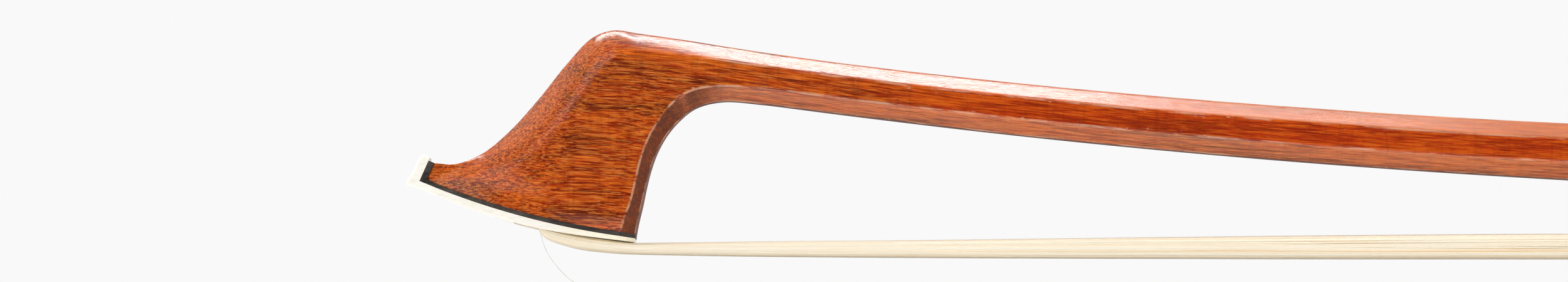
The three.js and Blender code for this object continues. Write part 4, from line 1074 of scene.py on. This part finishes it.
# A knot is a short bundle of hair bound with thread: radius = core + ridges of slanting turns.
def boundKnot(node, body, place, size, turns):
    along = np.linspace(-1, 1, 66)[:, None]
    angle = np.arange(28)[None, :] * 2 * np.pi / 28
    ridge = np.abs(np.cos(np.pi * (along * turns + angle / (2 * np.pi))))
    swell = np.sqrt(np.clip(1 - np.abs(along) ** 10, 0.02, 1))
    radius = size[1] * (0.84 + 0.14 * ridge) * swell
    y, z = size[0] * along, place[1] + radius * np.sin(angle)
    world = fromHandle(place[0] + radius * np.cos(angle), y, z)
    skinPiece("bound_" + node, world, thread, body, "thread", node)


gripLeather()
wireWinding()
boundKnot("head_knot", "stick_body", (698.7, 15.96), (2.8, 0.95), 7)
boundKnot("frog_knot", "frog_body", (44.8, -16.58), (4.1, 1.1), 10)
print("grip, winding and knots done")

view = {
    "middle": (-0.66935, 0.0, -0.01363),
    "distance": 0.6,
    "width": 0.1908,
    "elevation": -3.3,
}
studioShape = {
    "fill": 0.84,
    "roomDim": 0.02,
    "shadowFade": (0.05, 0.24),  # distances over which the floor goes over into the backdrop
}
# Each lamp's place, aim, size and power
lamps = {
    "overhead": ((-0.78, 0.04, 0.6), (-0.72, 0, 0), (0.5, 0.065), 2.15),
    "overheadTail": ((-0.502, 0.04, 0.6), (-0.55, 0, 0), (0.056, 0.065), 0.063),
    "broad": ((-0.36, 0.1, 1.25), (-0.36, 0, 0), (1.6, 1.0), 3.4),
    "front": ((-1.19, -0.77, 0.75), (-0.7, 0, -0.02), (0.42, 0.42), 0.6),
}
paper = srgb(249, 249, 249)


# The long side lies along X, whatever the camera or the lamp is aimed at.
def aimedObject(name, data, place, aim):
    made = newObject(name, data)
    back = (Vector(place) - Vector(aim)).normalized()
    side = (Vector((1, 0, 0)) - back * back.x).normalized()
    turn = Matrix((side, back.cross(side), back)).transposed()
    made.rotation_mode = "QUATERNION"
    made.rotation_quaternion = turn.to_quaternion()
    made.location = place
    return made


def bowCamera():
    data = bpy.data.cameras.new("camera")
    data.sensor_width = 36
    data.lens = data.sensor_width * view["distance"] / view["width"]
    data.clip_start, data.clip_end = 0.01, 50
    rise = np.radians(view["elevation"])
    middle = Vector(view["middle"])
    place = middle + Vector((0, -np.cos(rise), np.sin(rise))) * view["distance"]
    bpy.context.scene.camera = aimedObject("camera", data, place, middle)


def studio():
    scene = bpy.context.scene
    scene.view_settings.view_transform = "Standard"
    scene.world = bpy.data.worlds.new("studio")
    scene.world.use_nodes = True
    sky = NodeTree(scene.world.node_tree)
    sky.tree.nodes.clear()

    def backdrop(color, strength):
        return sky.node("Background", {"Color": color, "Strength": strength}).outputs[0]

    path = sky.node("LightPath").outputs
    shown = backdrop(paper, 1.0)
    # gloss sees the same pale room, which is dimmer on the camera's side
    across = sky.axes(sky.coordinates("Generated"))["Y"]
    dimRoom = backdrop(paper, studioShape["roomDim"])
    room = sky.mixShaders(sky.steps(across, -0.75, 0.05), dimRoom, shown)
    fill = backdrop((1, 1, 1, 1), studioShape["fill"])
    glossed = sky.mixShaders(path["Is Glossy Ray"], fill, room)
    seen = sky.larger(path["Is Camera Ray"], path["Is Transmission Ray"])
    sky.node("OutputWorld", {"Surface": sky.mixShaders(seen, glossed, shown)})
    for name, (place, aim, size, power) in lamps.items():
        light = bpy.data.lights.new(name, "AREA")
        light.shape = "RECTANGLE"
        light.size, light.size_y = size
        light.energy = power
        aimedObject(name, light, place, aim)


# The floor keeps the shadow near the bow and fades into the backdrop away from it. From below
# it is clear.
def paleFloor():
    low = min(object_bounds()[0][2], cadBox[0][2]) - 0.0002
    corners = [(-3, -3, low), (3, -3, low), (3, 3, low), (-3, 3, low)]
    made = Recipe("paleFloor", Roughness=0.9, Specular_IOR_Level=0.1)
    spot = made.place((0.55, 1, 0), shift=(0.36, 0, 0))
    away = made.node("VectorMath", {0: spot}, operation="LENGTH").outputs["Value"]
    path = made.node("LightPath").outputs
    seen, glossed = path["Is Camera Ray"], path["Is Glossy Ray"]
    # the camera sees a darker floor than bounced light does, and gloss sees it dim on the
    # camera's side as the room is
    made.give(Base_Color=made.blend(seen, srgb(245, 245, 244), srgb(198, 198, 197)))
    across = made.axes(made.coordinates())["Y"]
    dimmed = made.times(glossed, made.steps(across, -0.2, 0.02, 0.96, 0))
    glow = {"Color": paper, "Strength": made.compute("SUBTRACT", 1.0, dimmed)}
    glow = made.node("Emission", glow).outputs[0]
    fade = made.steps(away, *studioShape["shadowFade"])
    far = made.larger(glossed, made.times(seen, fade))
    faded = made.mixShaders(far, made.shader.outputs[0], glow)
    clear = made.node("BsdfTransparent").outputs[0]
    below = made.node("NewGeometry").outputs["Backfacing"]
    surface = made.tree.nodes["Material Output"].inputs["Surface"]
    made.feed(surface, made.mixShaders(below, faded, clear))
    newPiece("floor", corners, [(0, 1, 2, 3)], made.material)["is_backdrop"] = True


bowCamera()
studio()
paleFloor()
